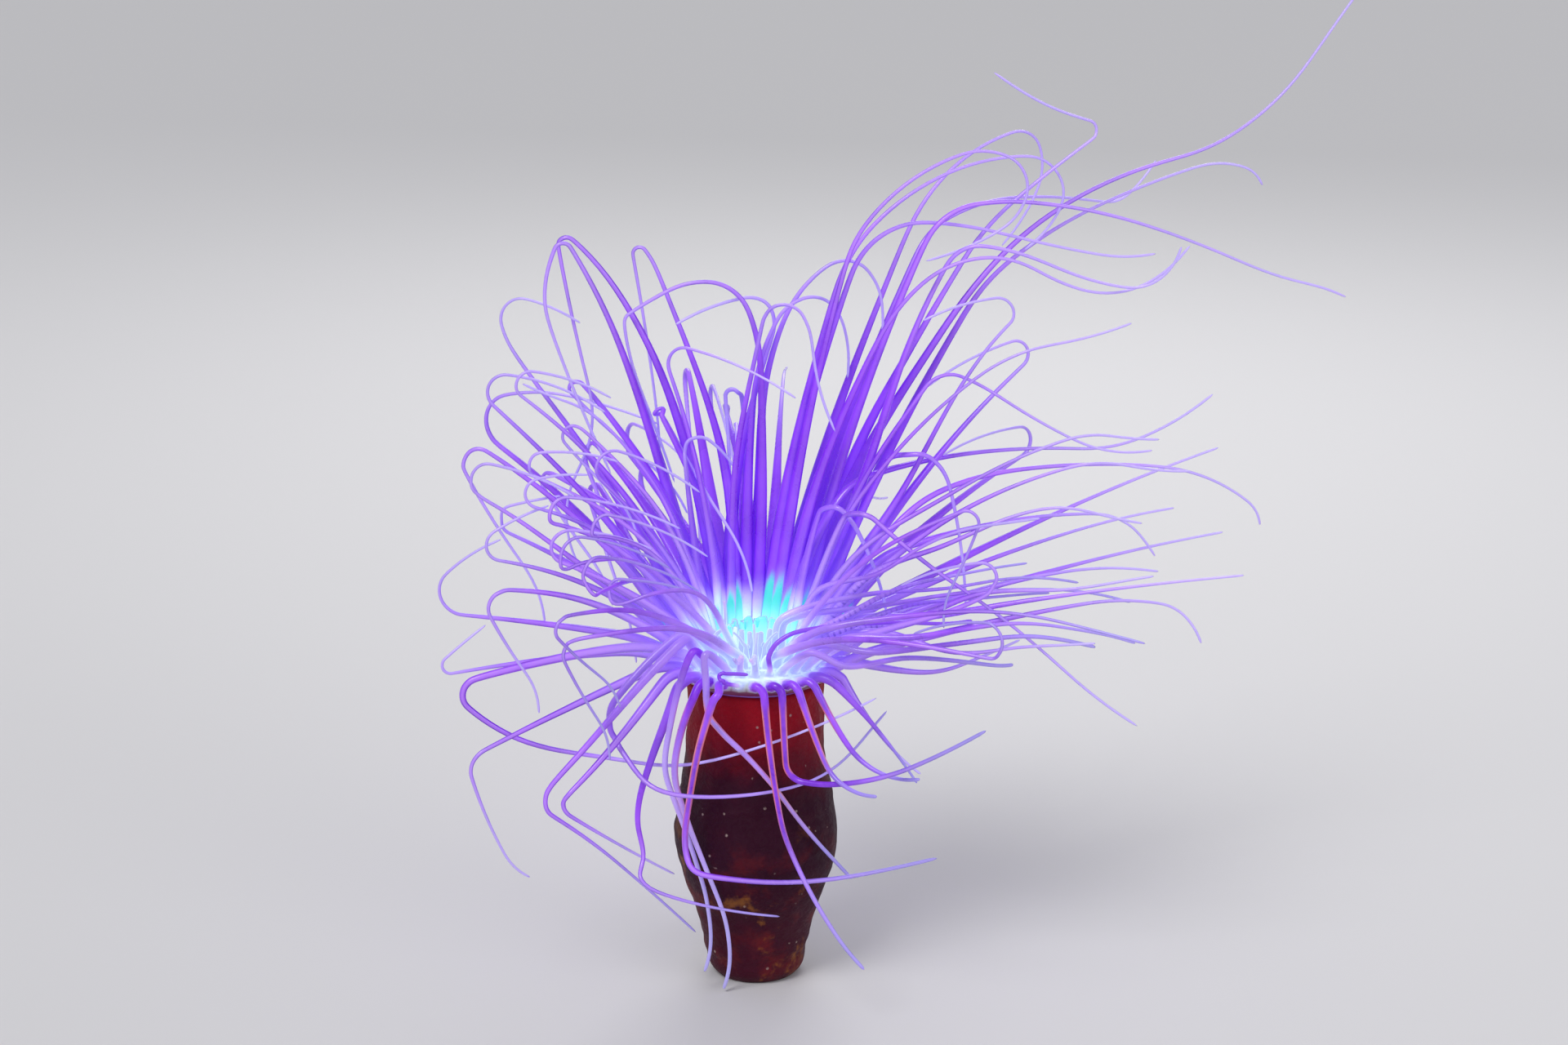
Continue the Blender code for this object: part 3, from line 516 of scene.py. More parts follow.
def spread(paths, radii):
    # moves the paths apart until their sections clear each other
    counts = [len(path) for path in paths]
    nodes = np.vstack(paths)
    owner = np.repeat(np.arange(len(paths)), counts)
    place = np.concatenate([np.arange(count) for count in counts])
    reach = np.concatenate(radii) * np.interp(place, *crown["roomAt"])
    slack = np.interp(place, *crown["freedomAt"])
    starts = np.flatnonzero(np.diff(owner) == 0)
    a, b = starts[np.array(np.triu_indices(len(starts), 1))]
    apart = ((owner[a] != owner[b]) | (place[b] - place[a] > 2)) & (place[a] + place[b] > 0)
    a, b = a[apart], b[apart]
    for turn in range(crown["rounds"]):
        if turn % crown["lookEvery"] == 0:
            middle = (nodes[:-1] + nodes[1:]) / 2
            half = lengthsOf(nodes) / 2
            far = np.linalg.norm(middle[a] - middle[b], axis=1)
            near = far < half[a] + half[b] + crown["lookRoom"]
            i, j = a[near], b[near]
        p, d = nodes[i], nodes[i + 1] - nodes[i]
        q, e = nodes[j], nodes[j + 1] - nodes[j]
        r = p - q
        dd, de, ee = (d * d).sum(1), (d * e).sum(1), (e * e).sum(1)
        dr, er = (d * r).sum(1), (e * r).sum(1)
        s = np.clip((de * er - dr * ee) / np.maximum(dd * ee - de * de, 1e-6), 0, 1)
        t = np.clip((de * s + er) / ee, 0, 1)
        s = np.clip((de * t - dr) / dd, 0, 1)
        across = p + d * s[:, None] - q - e * t[:, None]
        distance = np.linalg.norm(across, axis=1)
        need = reach[i] * (1 - s) + reach[i + 1] * s + reach[j] * (1 - t) + reach[j + 1] * t
        close = np.flatnonzero(distance < need + crown["clearance"])
        push = np.zeros_like(nodes)
        hits = np.zeros(len(nodes))
        away = across[close] / np.maximum(distance[close], 1e-6)[:, None]
        short = 0.5 * (need[close] + crown["clearance"] - distance[close])[:, None] * away
        for ends, share, sign in ((i, 1 - s, 1), (i + 1, s, 1), (j, 1 - t, -1), (j + 1, t, -1)):
            np.add.at(push, ends[close], sign * short * share[close, None])
            np.add.at(hits, ends[close], share[close])
        push /= np.maximum(hits, 1)[:, None]
        nodes += push * crown["push"] * slack[:, None]
        keepClear(nodes, starts, reach, slack)
    return np.split(nodes, np.cumsum(counts)[:-1])


def keepClear(nodes, starts, reach, slack):
    # moves the paths out of the tube and the crown's base, and up off the floor
    push = np.zeros_like(nodes)
    hits = np.zeros(len(nodes))
    for share in (0.0, 0.2, 0.4, 0.6, 0.8, 1.0):
        spots = nodes[starts] * (1 - share) + nodes[starts + 1] * share
        around = reach[starts] * (1 - share) + reach[starts + 1] * share
        shift = wayOut(spots, around)
        for ends, part in ((starts, 1 - share), (starts + 1, share)):
            np.add.at(push, ends, shift * part)
            np.add.at(hits, ends, part * (np.abs(shift).max(1) > 0))
    nodes += push / np.maximum(hits, 1)[:, None] * slack[:, None]
    nodes[:, 2] = np.maximum(nodes[:, 2], reach * keepOut["floorRoom"])


def wayOut(spots, around):
    # how far each spot has to move to leave the tube and the crown's base
    outline = np.array(keepOut["outline"])
    rimRadius = crown["rim"][0][0]
    out = np.linalg.norm(spots[:, :2], axis=1)
    height = spots[:, 2]
    wall = np.interp(height, outline[:, 1], outline[:, 0]) + keepOut["tubeRoom"]
    wall = np.where(height > keepOut["tubeTop"], rimRadius + keepOut["rimRoom"], wall) + around
    shift = np.zeros_like(spots)
    side = (height < keepOut["shoulder"]) & (out < wall)
    shift[side, :2] = (spots[:, :2] * (wall / np.maximum(out, 1e-6) - 1)[:, None])[side]
    above = (height >= keepOut["shoulder"]) & (height < keepOut["crownTop"] + around) & (out < rimRadius)
    shift[above, 2] = (keepOut["crownTop"] + around - height)[above]
    return shift


def smoothBetween(values, places):
    # values at fractional places, on a smooth curve through them
    last = len(values) - 1
    low = np.clip(np.floor(places).astype(int), 0, last - 1)
    t = (places - low)[:, None]
    before, one, two, after = (values[np.clip(low + step, 0, last)] for step in (-1, 0, 1, 2))
    bend = 2 * before - 5 * one + 4 * two - after + t * (3 * (one - two) + after - before)
    return one + 0.5 * t * (two - before + t * bend)


def finePath(centre, points, places, settled):
    # a tentacle's own smooth path: the walk, moved as its rings were when they were spread
    need = needAlong(points, skin)
    fine = np.interp(np.linspace(0, need[-1], skin["rings"]), need, np.arange(len(points)))
    shift = settled[1:] - between(points, places)
    line = between(points, fine) + smoothBetween(shift, np.interp(fine, places, np.arange(len(places))))
    flare = centre + (line[0] - centre) * skin["flareAt"]
    return np.vstack((centre, flare, line))


# steps that more than one piece uses


def addTurned(name, sides, rings, start):
    # a circle extruded ring by ring both ways, and drawn to a point at each end
    radius, height = rings[start]
    bpy.ops.object.select_all(action="DESELECT")
    place = {"location": (0, 0, height * mm), "rotation": (0, 0, -math.pi / 2)}
    bpy.ops.mesh.primitive_circle_add(vertices=sides, radius=radius * mm, **place)
    made = bpy.context.object
    made.name = made.data.name = name
    bpy.ops.object.transform_apply(location=True, rotation=True, scale=True)
    bpy.ops.object.mode_set(mode="EDIT")
    bpy.ops.mesh.select_mode(type="EDGE")
    for row in (rings[start:], rings[start::-1]):
        bpy.ops.mesh.select_all(action="DESELECT")
        bm = bmesh.from_edit_mesh(made.data)
        bm.verts.index_update()
        for edge in bm.edges:
            if max(vert.index for vert in edge.verts) < sides:
                edge.select_set(True)
        bmesh.update_edit_mesh(made.data)
        for (near, low), (far, high) in zip(row, row[1:]):
            bpy.ops.mesh.extrude_region()
            bpy.ops.transform.translate(value=(0, 0, (high - low) * mm))
            if far == 0:
                bpy.ops.mesh.merge(type="CENTER")
            else:
                size = far / near
                bpy.ops.transform.resize(value=(size, size, 1), center_override=(0, 0, high * mm))
    leaveEdit()
    return made


def leaveEdit():
    # turns every face outwards and ends the editing
    bpy.ops.mesh.select_all(action="SELECT")
    bpy.ops.mesh.normals_make_consistent(inside=False)
    bpy.ops.object.mode_set(mode="OBJECT")


def subdivided(made):
    smooth = made.modifiers.new("Smooth", "SUBSURF")
    smooth.levels = smooth.render_levels = 1
    smooth.uv_smooth = "NONE"
    bpy.context.view_layer.objects.active = made
    bpy.ops.object.modifier_apply(modifier=smooth.name)
    made.data.shade_smooth()


def vectorsOf(mesh, what="co"):
    # every vertex's place in metres, or its normal
    row = np.empty(len(mesh.vertices) * 3)
    mesh.vertices.foreach_get(what, row)
    return row.reshape(-1, 3)


def ringPlaces(mesh, rings):
    # azimuth in turns, radius, and number of the nearest ring, for each vertex
    spots = vectorsOf(mesh) / mm
    radius = np.linalg.norm(spots[:, :2], axis=1)
    turns = np.arctan2(spots[:, 1], spots[:, 0]) / (2 * math.pi) % 1
    apart = (radius[:, None] - [r for r, _ in rings]) ** 2 + (spots[:, 2, None] - [z for _, z in rings]) ** 2
    return turns, radius, apart.argmin(axis=1)


def turnedCorners(verts, turns, radius, number, last):
    # a face's corners as turns against rings, with the seam and the poles put right
    across = [turns[v] for v in verts]
    if max(across) - min(across) > 0.5:
        across = [turn + 1 if turn < 0.5 else turn for turn in across]
    ringed = [turn for turn, v in zip(across, verts) if radius[v] > 0.01]
    middle = sum(ringed) / len(ringed)
    return [(turn if radius[v] > 0.01 else middle, number[v] / last) for turn, v in zip(across, verts)]


def setMap(layer, face, corners, strip):
    # puts a face's corners on a strip of the map, which has a start and a size both ways
    (left, wide), (low, tall) = strip
    for loop, (u, v) in zip(face.loop_indices, corners):
        layer.data[loop].uv = (left + u * wide, low + v * tall)


def framesAlong(points, way, across):
    # each section's two directions, carried along the path without twisting
    ways = np.diff(points, axis=0) / lengthsOf(points)[:, None]
    sides = []
    for both in np.vstack((ways[:1], ways)) + np.vstack((ways, ways[-1:])):
        tangent = Vector(both).normalized()
        across = (way.rotation_difference(tangent) @ across).normalized()
        way = tangent
        sides.append((across, tangent.cross(across)))
    return sides


# the flesh: column, disc, mouth and every tentacle as one skin

skin = {
    "rings": 36,  # on each tentacle
    "turnPerRing": 14,
    "runPerRing": 9,
    "flareAt": 0.42,  # where the root's flare ends, as a share of the root's rise
    "flareRadius": 1.22,  # over the tentacle's own
    "cageOver": 1.5,  # the cage's corners over the finished radius
    # how broad the roots are, how fast it fades and how near they come to each other: each at the
    # front and at the back, where they make a curtain
    "roots": ((0.15, 2.2), (8, 42), (0.96, 1.35)),
    "rootBack": (-0.3, 0.7),  # by the azimuth's sine
    "rootRun": 70,  # they keep apart up to here
    # radius and height of the column's rings, from its foot up to the rim
    "column": (
        (0, 4), (6, 5.2), (11.4, 17), (13.8, 28), (15, 42),
        (15.1, 60), (15, 80.2), (16.6, 82.9), (19.7, 83.4),
    ),
    # the disc, the ring that the inner tentacles grow from, the lips and the throat
    "disc": ((7.5, 88.2), (4.7, 88.0), (3.6, 88.5), (2.6, 89.2), (1.7, 88), (0.9, 85.2), (0, 84.4)),
    "marks": ("tentacle", "ring", "corner"),  # whole numbers that each vertex carries
    # the map: strips for the base and the tentacles, and a tip's corners on its strip
    "baseStrip": ((0.01, 0.9), (0.005, 0.095)),
    "stripsPerRow": 67,
    "stripMargin": 0.06,
    "stripRows": ((0.11, 0.44), (0.56, 0.44)),
    "tipCorners": ((0.3, 0), (0.7, 0), (0.7, 1), (0.3, 1)),
}


def rootBreadth(line, radius, run, azimuth, cycle):
    # how much broader than deep: roots are broad, but leave each other room along the rim
    back = ramp(math.sin(azimuth), *skin["rootBack"])
    most, fade, fill = (front + (rear - front) * back for front, rear in skin["roots"])
    broad = 1 + most * np.exp(-run / fade)
    if cycle == crown["inner"]:
        return broad
    share = fill * math.pi / crown["columns"] * np.linalg.norm(line[:, :2], axis=1) / radius
    share[:3] /= fill
    return np.where(run < skin["rootRun"], np.maximum(np.minimum(broad, share), 1), broad)


def planTentacles():
    # every tentacle's rings, radii and section directions, numbered from 1
    walks = tentacleWalks()
    places = {cell: coarsePlaces(points, cell[0]) for cell, (_, points) in walks.items()}
    paths = [np.vstack((centre, between(points, places[cell]))) for cell, (centre, points) in walks.items()]
    settled = spread(paths, [radiiOf(cell, path) for cell, path in zip(walks, paths)])
    plans = {}
    for number, (cell, (centre, points)) in enumerate(walks.items(), 1):
        line = finePath(centre, points, places[cell], settled[number - 1])
        radius = radiiOf(cell, line)
        radius[1] *= skin["flareRadius"]
        azimuth = columnAzimuth(cell[1])
        across = Vector((-math.sin(azimuth), math.cos(azimuth), 0))
        run = np.append(0, np.cumsum(lengthsOf(line)))
        plans[number] = {
            "cycle": cell[0],
            "azimuth": azimuth,
            "line": line,
            "radius": radius,
            "broad": rootBreadth(line, radius, run, azimuth, cell[0]),
            "sides": framesAlong(line, Vector(line[1] - line[0]).normalized(), across),
            "run": run,
        }
    return plans


def markCells(bm, plans):
    # numbers and selects each cell's face, and notes on which side of its middle each corner lies
    cell = bm.faces.layers.int.new("cell")
    for name in skin["marks"]:
        bm.verts.layers.int.new(name)
    faces = [(face, face.calc_center_median() / mm) for face in bm.faces]
    for number, plan in plans.items():
        start = Vector(plan["line"][0])
        face, middle = min(faces, key=lambda pair: (pair[1] - start).length)
        face[cell] = number
        face.select_set(True)
        offs = [loop.vert.co / mm - middle for loop in face.loops]
        plan["signs"] = [tuple(math.copysign(1, off.dot(way)) for way in plan["sides"][0]) for off in offs]


def placeRing(bm, plans, ring):
    # sets each grown face square round its place on its tentacle's path
    cell = bm.faces.layers.int["cell"]
    layers = [bm.verts.layers.int[name] for name in skin["marks"]]
    for face in bm.faces:
        if not face.select:
            continue
        plan = plans[face[cell]]
        reach = skin["cageOver"] * plan["radius"][ring] / math.sqrt(2)
        across, along = plan["sides"][ring]
        for order, (loop, (a, b)) in enumerate(zip(face.loops, plan["signs"])):
            off = across * (a * plan["broad"][ring]) + along * b
            loop.vert.co = (Vector(plan["line"][ring]) + off * reach) * mm
            for layer, mark in zip(layers, (face[cell], ring, order)):
                loop.vert[layer] = mark


def growTentacles(made, plans):
    bpy.context.view_layer.objects.active = made
    bpy.ops.object.mode_set(mode="EDIT")
    bpy.ops.mesh.select_mode(type="FACE")
    bpy.ops.mesh.select_all(action="DESELECT")
    bm = bmesh.from_edit_mesh(made.data)
    markCells(bm, plans)
    bmesh.update_edit_mesh(made.data)
    for ring in range(1, skin["rings"] + 2):
        bpy.ops.mesh.extrude_faces_indiv()
        placeRing(bmesh.from_edit_mesh(made.data), plans, ring)
    bmesh.update_edit_mesh(made.data)
    leaveEdit()


def tentacleCorners(verts, tentacle, ring, corner):
    # a tentacle face's corners as turns round it and rings along it
    if all(ring[v] == skin["rings"] + 1 for v in verts):
        spots = [skin["tipCorners"][corner[v]] for v in verts]
        return [(u, skin["rings"] + 1 + v) for u, v in spots]
    # a corner on the crown takes the turn of the one above it
    turns = [
        corner[v if tentacle[v] else after if tentacle[after] else before]
        for before, v, after in zip(verts[-1:] + verts[:-1], verts, verts[1:] + verts[:1])]
    if 0 in turns and 3 in turns:
        turns = [4 if turn == 0 else turn for turn in turns]
    return [(turn / 4, ring[v]) for turn, v in zip(turns, verts)]


def marksOf(mesh):
    # each vertex's tentacle, ring and corner
    rows = [np.zeros(len(mesh.vertices), int) for _ in skin["marks"]]
    for name, row in zip(skin["marks"], rows):
        mesh.attributes[name].data.foreach_get("value", row)
    return rows


def mapSkin(made, rings):
    # the base along the foot of the map, and each tentacle on a strip of its own
    mesh = made.data
    turns, radius, number = ringPlaces(mesh, rings)
    tentacle, ring, corner = marksOf(mesh)
    layer = mesh.uv_layers.new(name="OFBake")
    width, margin = 1 / skin["stripsPerRow"], skin["stripMargin"]
    for face in mesh.polygons:
        verts = list(face.vertices)
        owner = max(tentacle[v] for v in verts)
        if owner == 0:
            corners = turnedCorners(verts, turns, radius, number, len(rings) - 1)
            strip = skin["baseStrip"]
        else:
            corners = tentacleCorners(verts, tentacle, ring, corner)
            corners = [(u, v / (skin["rings"] + 2)) for u, v in corners]
            row, column = divmod(owner - 1, skin["stripsPerRow"])
            strip = (((column + margin) * width, (1 - 2 * margin) * width), skin["stripRows"][row])
        setMap(layer, face, corners, strip)


def addValue(mesh, name, values):
    mesh.attributes.new(name, "FLOAT", "POINT").data.foreach_set("value", np.asarray(values, np.float32))


# how the flesh's colours lie, in millimetres: a pair is where something starts and where it's full
paint = {
    "values": "run along tint glow cyan deep spotted body collar edged frontal curtain lilac hanging",
    "seed": 7,
    "front": (0, -0.956, 0.292),  # the side that the painted highlight line lies on
    # the pale light from the mouth: how far it reaches at the front, the sides and the back
    "reach": ((-0.9, -0.2, 1), (27, 26, 21)),
    "reachSpread": (0.92, 1.08),
    "fade": 12,
    "less": (6, (91, 87)),  # how much shorter it is on the outermost roots, and at what heights
    "glowOnBase": (82.6, 84.2),
    "lilac": (58, 24),  # from the mouth
    "curtain": (110, 70),
    # blue-green streaks: how far back, the share that has one, and its reach, spread and fade
    "streaks": (0.3, 0.65, 24, (0.6, 1.1), 20),
    # the inner ones: how deep and how blue, along them and round the mouth
    "innerDeep": (0.3, (3.6, 9.6)),
    "innerCyan": (0.42, (-0.5, 0)),
    # the column ends here, and the crown's underside is dark out here and below this height
    "bodyTop": 82,
    "collar": (17.9, 86.2),
    # cycle and azimuth of the dark ones on the disc, the pale ones that hang, and those with dots
    "dark": ((0, 258), (1, 282)),
    "darkRun": (3.6, 5.6),
    "darkGlow": (6, 0),
    "pale": ((0, 234), (1, 234)),
    "paleLilac": (1.5, (12, 42)),
    "paleHanging": 0.4,
    "spotted": ((2, 306), (2, 318), (1, 342), (2, 342), (1, 354)),
    # those that grow further forward than this have painted light on their edges
    "edgedBelow": -0.55,
    "edged": (55, 27.5),
    # and hang before the tube, where its red is painted as light through their edges: by height, height,
    # steepness and distance from the middle
    "hanging": ((84, 81), (40, 60), (0.6, 0.85), (22, 19)),
}


def paintSkin(made, plans):
    # the values that the flesh's material reads
    mesh = made.data
    rng = random.Random(paint["seed"])
    tentacle, ring, corner = marksOf(mesh)
    side, depth, height = vectorsOf(mesh).T / mm
    out = np.hypot(side, depth)
    values = {name: np.zeros(len(out)) for name in paint["values"].split()}
    base = tentacle == 0
    values["glow"][base] = ramp(height[base], *paint["glowOnBase"])
    values["body"][base] = height[base] < paint["bodyTop"]
    values["collar"][base] = (out[base] > paint["collar"][0]) & (height[base] < paint["collar"][1])
    shorter, lowRoots = paint["less"]
    behind, share, reach, spread, fade = paint["streaks"]
    for number, plan in plans.items():
        mine = tentacle == number
        outermost, inner = plan["cycle"] == 0, plan["cycle"] == crown["inner"]
        cell, back = (plan["cycle"], round(math.degrees(plan["azimuth"]))), math.sin(plan["azimuth"])
        dark, pale = cell in paint["dark"], cell in paint["pale"]
        run, high = plan["run"][ring[mine]], height[mine]
        far = np.hypot(out[mine], high - crown["rim"][-1][1])
        lit = np.interp(depth[mine] / np.maximum(out[mine], 1), *paint["reach"])
        lit *= rng.uniform(*paint["reachSpread"])
        lit -= shorter * ramp(high, *lowRoots) * outermost
        glow = ramp(run, *paint["darkGlow"]) if dark else ramp(far, lit, lit - paint["fade"])
        painted = {
            "run": run,
            "along": run / plan["run"][-1],
            "tint": rng.uniform(-1, 1),
            "glow": glow * glow * (3 - 2 * glow),
            "curtain": max(back, 0) ** 0.5 * ramp(run, *paint["curtain"]),
            "lilac": ramp(far, *paint["lilac"]) * (1 - (abs(back) if outermost else max(back, 0))),
        }
        parts = [("deep", "innerDeep", run), ("cyan", "innerCyan", back)] if inner else []
        parts += [("lilac", "paleLilac", run)] if pale else []
        for name, rule, value in parts:
            most, edge = paint[rule]
            painted[name] = most * ramp(value, *edge)
        if dark:
            painted["deep"] = ramp(run, *paint["darkRun"])
        # streaks are wide at the root and drawn out to a point
        if back > behind and rng.random() < share and not inner:
            top = reach * rng.uniform(*spread) * (0.45 + 0.55 * back)
            painted["cyan"] = ramp(run, top, top - fade)
        if cell in paint["spotted"]:
            painted["spotted"] = np.array([sign for _, sign in plan["signs"]])[corner[mine]] < 0
        # painted light: pale edges on those at the front, and the tube's red through the edges of those that
        # hang before it
        if back < paint["edgedBelow"]:
            steep = np.abs(np.gradient(plan["line"][:, 2], plan["run"]))[ring[mine]]
            measures = zip((high, high, steep, np.abs(side[mine])), paint["hanging"])
            hanging = np.prod([ramp(value, *edge) for value, edge in measures], axis=0)
            painted["hanging"] = hanging * (paint["paleHanging"] if pale else 1)
            painted["edged"] = ramp(run, *paint["edged"])
            painted["frontal"] = 1
        for name, value in painted.items():
            values[name][mine] = value
    for name, row in values.items():
        addValue(mesh, name, row)


def addSkin():
    rings = (*skin["column"], *crown["rim"], *skin["disc"])
    made = addTurned("anemoneFlesh", crown["columns"], rings, len(skin["column"]))
    plans = planTentacles()
    print("tentacles planned:", len(plans))
    growTentacles(made, plans)
    mapSkin(made, rings)
    paintSkin(made, plans)
    subdivided(made)
    # how far each vertex faces the front, and below nought the back
    addValue(made.data, "facing", vectorsOf(made.data, "normal") @ np.array(paint["front"]))
    for name in (*skin["marks"], "cell"):
        made.data.attributes.remove(made.data.attributes[name])
    return made


# the flesh's look: a colour with a number is laid over the others up to that share
flesh = {
    "deepViolet": (0.155, 0.012, 0.56),
    "violet": (0.31, 0.055, 0.86),
    "cloud": (70, 0.35, 0.65),  # patches of the two: scale and soft edge
    "tintShare": 0.35,
    "curtain": ((0.235, 0.022, 0.86), 0.6),
    # painted highlight: the pale line along the side that faces the front
    "line": ((0.55, 0.27, 0.98), 0.62),
    "highlightLineFacing": (0.5, 0.95),
    "highlightLineInCurtain": 0.25,
    "lilac": ((0.60, 0.46, 1.0), 0.55),
    # painted light: the tube's red, as if shining through the edges of those that hang before it
    "tubeRedLightEdge": ((0.80, 0.22, 0.16), 0.85),
    "tubeRedLightFacing": (0.92, 0.5),
    "tip": ((0.56, 0.52, 0.95), 0.7),
    "frontTip": (0.34, 0.35, 0.72),
    "tipAlong": (0.4, 1.0),
    "labial": ((0.23, 0.045, 0.72), 0.85),
    "spot": ((0.07, 0.02, 0.42), 0.6),
    "spotStep": 1.5,  # millimetres between spots
    "spotEdge": (0.1, 0.7),
    "spotRun": (60.0, 8.0),
    "lilacGlow": (0.02, 0.45),
    "glow": (0.70, 0.87, 0.92),
    "glowEdge": (0.3, 0.85),
    # painted shade: lilac grooves between the pale roots, where they turn away from the front
    "grooveShade": (0.44, 0.49, 0.80),
    "grooveShadeFacing": (0.25, 0.75),
    "paleCyan": (0.40, 0.88, 0.80),
    "cyan": (0.08, 0.74, 0.58),
    "cyanFacing": 0.5,
    "cyanEdge": (0.55, 0.75),
    "cyanRun": (3.0, 12.0),
    "collar": (0.10, 0.006, 0.05),
    "column": (0.30, 0.12, 0.22),
    # painted glow: light that the flesh gives off of its own
    "ownLight": 0.22,
    "glowLight": 0.16,
    "roughness": (0.26, 0.40),
    "grain": {"Scale": 900, "Detail": 4.0},
}


def fleshMaterial(group):
    made = newMaterial("anemoneFlesh")
    tree = made.node_tree
    where = addNode(tree, "TexCoord").outputs["Object"]
    names = (*paint["values"].split(), "facing")
    value = {name: addNode(tree, "Attribute", attribute_name=name).outputs["Fac"] for name in names}
    cloud = patches(tree, group, where, *flesh["cloud"])
    share = maths(tree, "ADD", cloud, times(tree, value["tint"], flesh["tintShare"]), clamp=True)
    colour = mixed(tree, share, flesh["deepViolet"], flesh["violet"])
    # painted highlight: a pale line where they face the front; on those that hang there, painted light on
    # their edges instead
    shown = maths(tree, "ABSOLUTE", value["facing"])
    sides = {0: value["edged"], 2: shown, 3: maths(tree, "SUBTRACT", 1.0, shown)}
    facing = addNode(tree, "Mix", sides).outputs[0]
    line = ranged(tree, facing, *flesh["highlightLineFacing"])
    wave = maths(tree, "SINE", times(tree, value["run"], 2 * math.pi / flesh["spotStep"]))
    dots = times(tree, ranged(tree, wave, *flesh["spotEdge"]), value["spotted"])
    masks = {
        "curtain": value["curtain"],
        "line": times(tree, line, ranged(tree, value["curtain"], 0.0, 1.0, 1.0, flesh["highlightLineInCurtain"])),
        "lilac": value["lilac"],
        # painted light: the red of the tube, as if shining through the edges of those that hang before it
        "tubeRedLightEdge": times(tree, value["hanging"], ranged(tree, shown, *flesh["tubeRedLightFacing"])),
        "tip": ranged(tree, value["along"], *flesh["tipAlong"]),
        "labial": value["deep"],
        "spot": times(tree, dots, ranged(tree, value["run"], *flesh["spotRun"])),
    }
    for name, mask in masks.items():
        over, share = flesh[name]
        if name == "tip":
            over = mixed(tree, value["frontal"], over, flesh["frontTip"])
        colour = mixed(tree, times(tree, mask, share), colour, over)
    # painted light from the mouth, with painted shade in lilac grooves between the pale roots
    colour = mixed(tree, ranged(tree, value["glow"], *flesh["lilacGlow"]), colour, flesh["lilac"][0])
    pale = mixed(tree, ranged(tree, facing, *flesh["grooveShadeFacing"]), flesh["grooveShade"], flesh["glow"])
    colour = mixed(tree, ranged(tree, value["glow"], *flesh["glowEdge"]), colour, pale)
    cyan = maths(tree, "ADD", value["cyan"], times(tree, value["facing"], flesh["cyanFacing"]))
    cyan = ranged(tree, cyan, *flesh["cyanEdge"])
    streak = mixed(tree, ranged(tree, value["run"], *flesh["cyanRun"]), flesh["paleCyan"], flesh["cyan"])
    for mask, over in ((cyan, streak), (value["collar"], flesh["collar"]), (value["body"], flesh["column"])):
        colour = mixed(tree, mask, colour, over)
    # painted glow: a little light from all the flesh, and more from the pale parts near the mouth and the
    # blue-green streaks
    light = times(tree, maths(tree, "MAXIMUM", value["glow"], cyan), flesh["glowLight"])
    light = maths(tree, "ADD", light, flesh["ownLight"])
    grain = addNode(tree, "TexNoise", {"Vector": where, **flesh["grain"]}).outputs[0]
    bump = addNode(tree, "Bump", {"Height": grain, "Strength": 0.15, "Distance": 0.0002})
    fill(tree, "Principled BSDF", {
        "Base Color": colour,
        "Emission Color": mixed(tree, light, (0, 0, 0), colour),
        "Emission Strength": 1.0,
        "Normal": bump.outputs[0],
        "Roughness": ranged(tree, cloud, 0.0, 1.0, *flesh["roughness"]),
        "Subsurface Weight": 0.2,
        "Subsurface Radius": (0.6, 0.4, 1.0),
        "Subsurface Scale": 0.002,
        "Coat Weight": 0.3,
        "Coat Roughness": 0.15,
    })
    return made


# the tube: soft felt, creased, with grains of sand caught in it

tube = {
    "sides": 96,
    "rows": 80,  # rings up the outside
    "lip": ((18.1, 82.35), (17.5, 82.5), (16.9, 82.3), (16.6, 81.4)),
    "inner": ((15.9, 77), (15.9, 60), (15.8, 40), (12.6, 16), (7, 3.8), (0, 3.5)),
    # rolls, fine creases and ribs: their size across and up, and how far out they push the wall
    "creaseSizes": ((26, 26, 7), (5, 5, 2.4), (3, 3, 22)),
    "creaseDepths": (0.55, -0.35, 0.22),
    "inset": 0.1,
    "flatFoot": (0.5, 6.5),  # creases start at the first height and are full at the second
    "innerWall": 16.2,  # nearer the middle than this, only the foot is creased
    "footTop": 30,
    "strip": ((0.01, 0.96), (0.01, 0.98)),
}


def tubeRings():
    # a smooth curve through the outline's points, with the lip and the inside
    outline = np.array(keepOut["outline"])
    curve = smoothBetween(outline, np.linspace(0, len(outline) - 1, tube["rows"]))
    return [(0, 0), (6, 0), *curve.tolist(), *tube["lip"], *tube["inner"]]


def creaseTube(mesh):
    # pushes the wall in and out, and leaves the foot flat
    for vert in mesh.vertices:
        spot = vert.co / mm
        out = math.hypot(spot.x, spot.y)
        if out < 10 or not (out > tube["innerWall"] or spot.z < tube["footTop"]):
            continue
        rolls, creases, ribs = (Vector([a / b for a, b in zip(spot, size)]) for size in tube["creaseSizes"])
        waves = (noise.fractal(rolls, 0.8, 2.1, 3), abs(noise.noise(creases)), noise.noise(ribs))
        shift = sum(depth * wave for depth, wave in zip(tube["creaseDepths"], waves)) - tube["inset"]
        shift *= float(ramp(spot.z, *tube["flatFoot"]))
        vert.co.x *= 1 + shift / out
        vert.co.y *= 1 + shift / out


def addTube():
    rings = tubeRings()
    made = addTurned("feltTube", tube["sides"], rings, 2)
    mesh = made.data
    turns, radius, number = ringPlaces(mesh, rings)
    layer = mesh.uv_layers.new(name="OFBake")
    for face in mesh.polygons:
        corners = turnedCorners(list(face.vertices), turns, radius, number, len(rings) - 1)
        setMap(layer, face, corners, tube["strip"])
    creaseTube(mesh)
    subdivided(made)
    return made


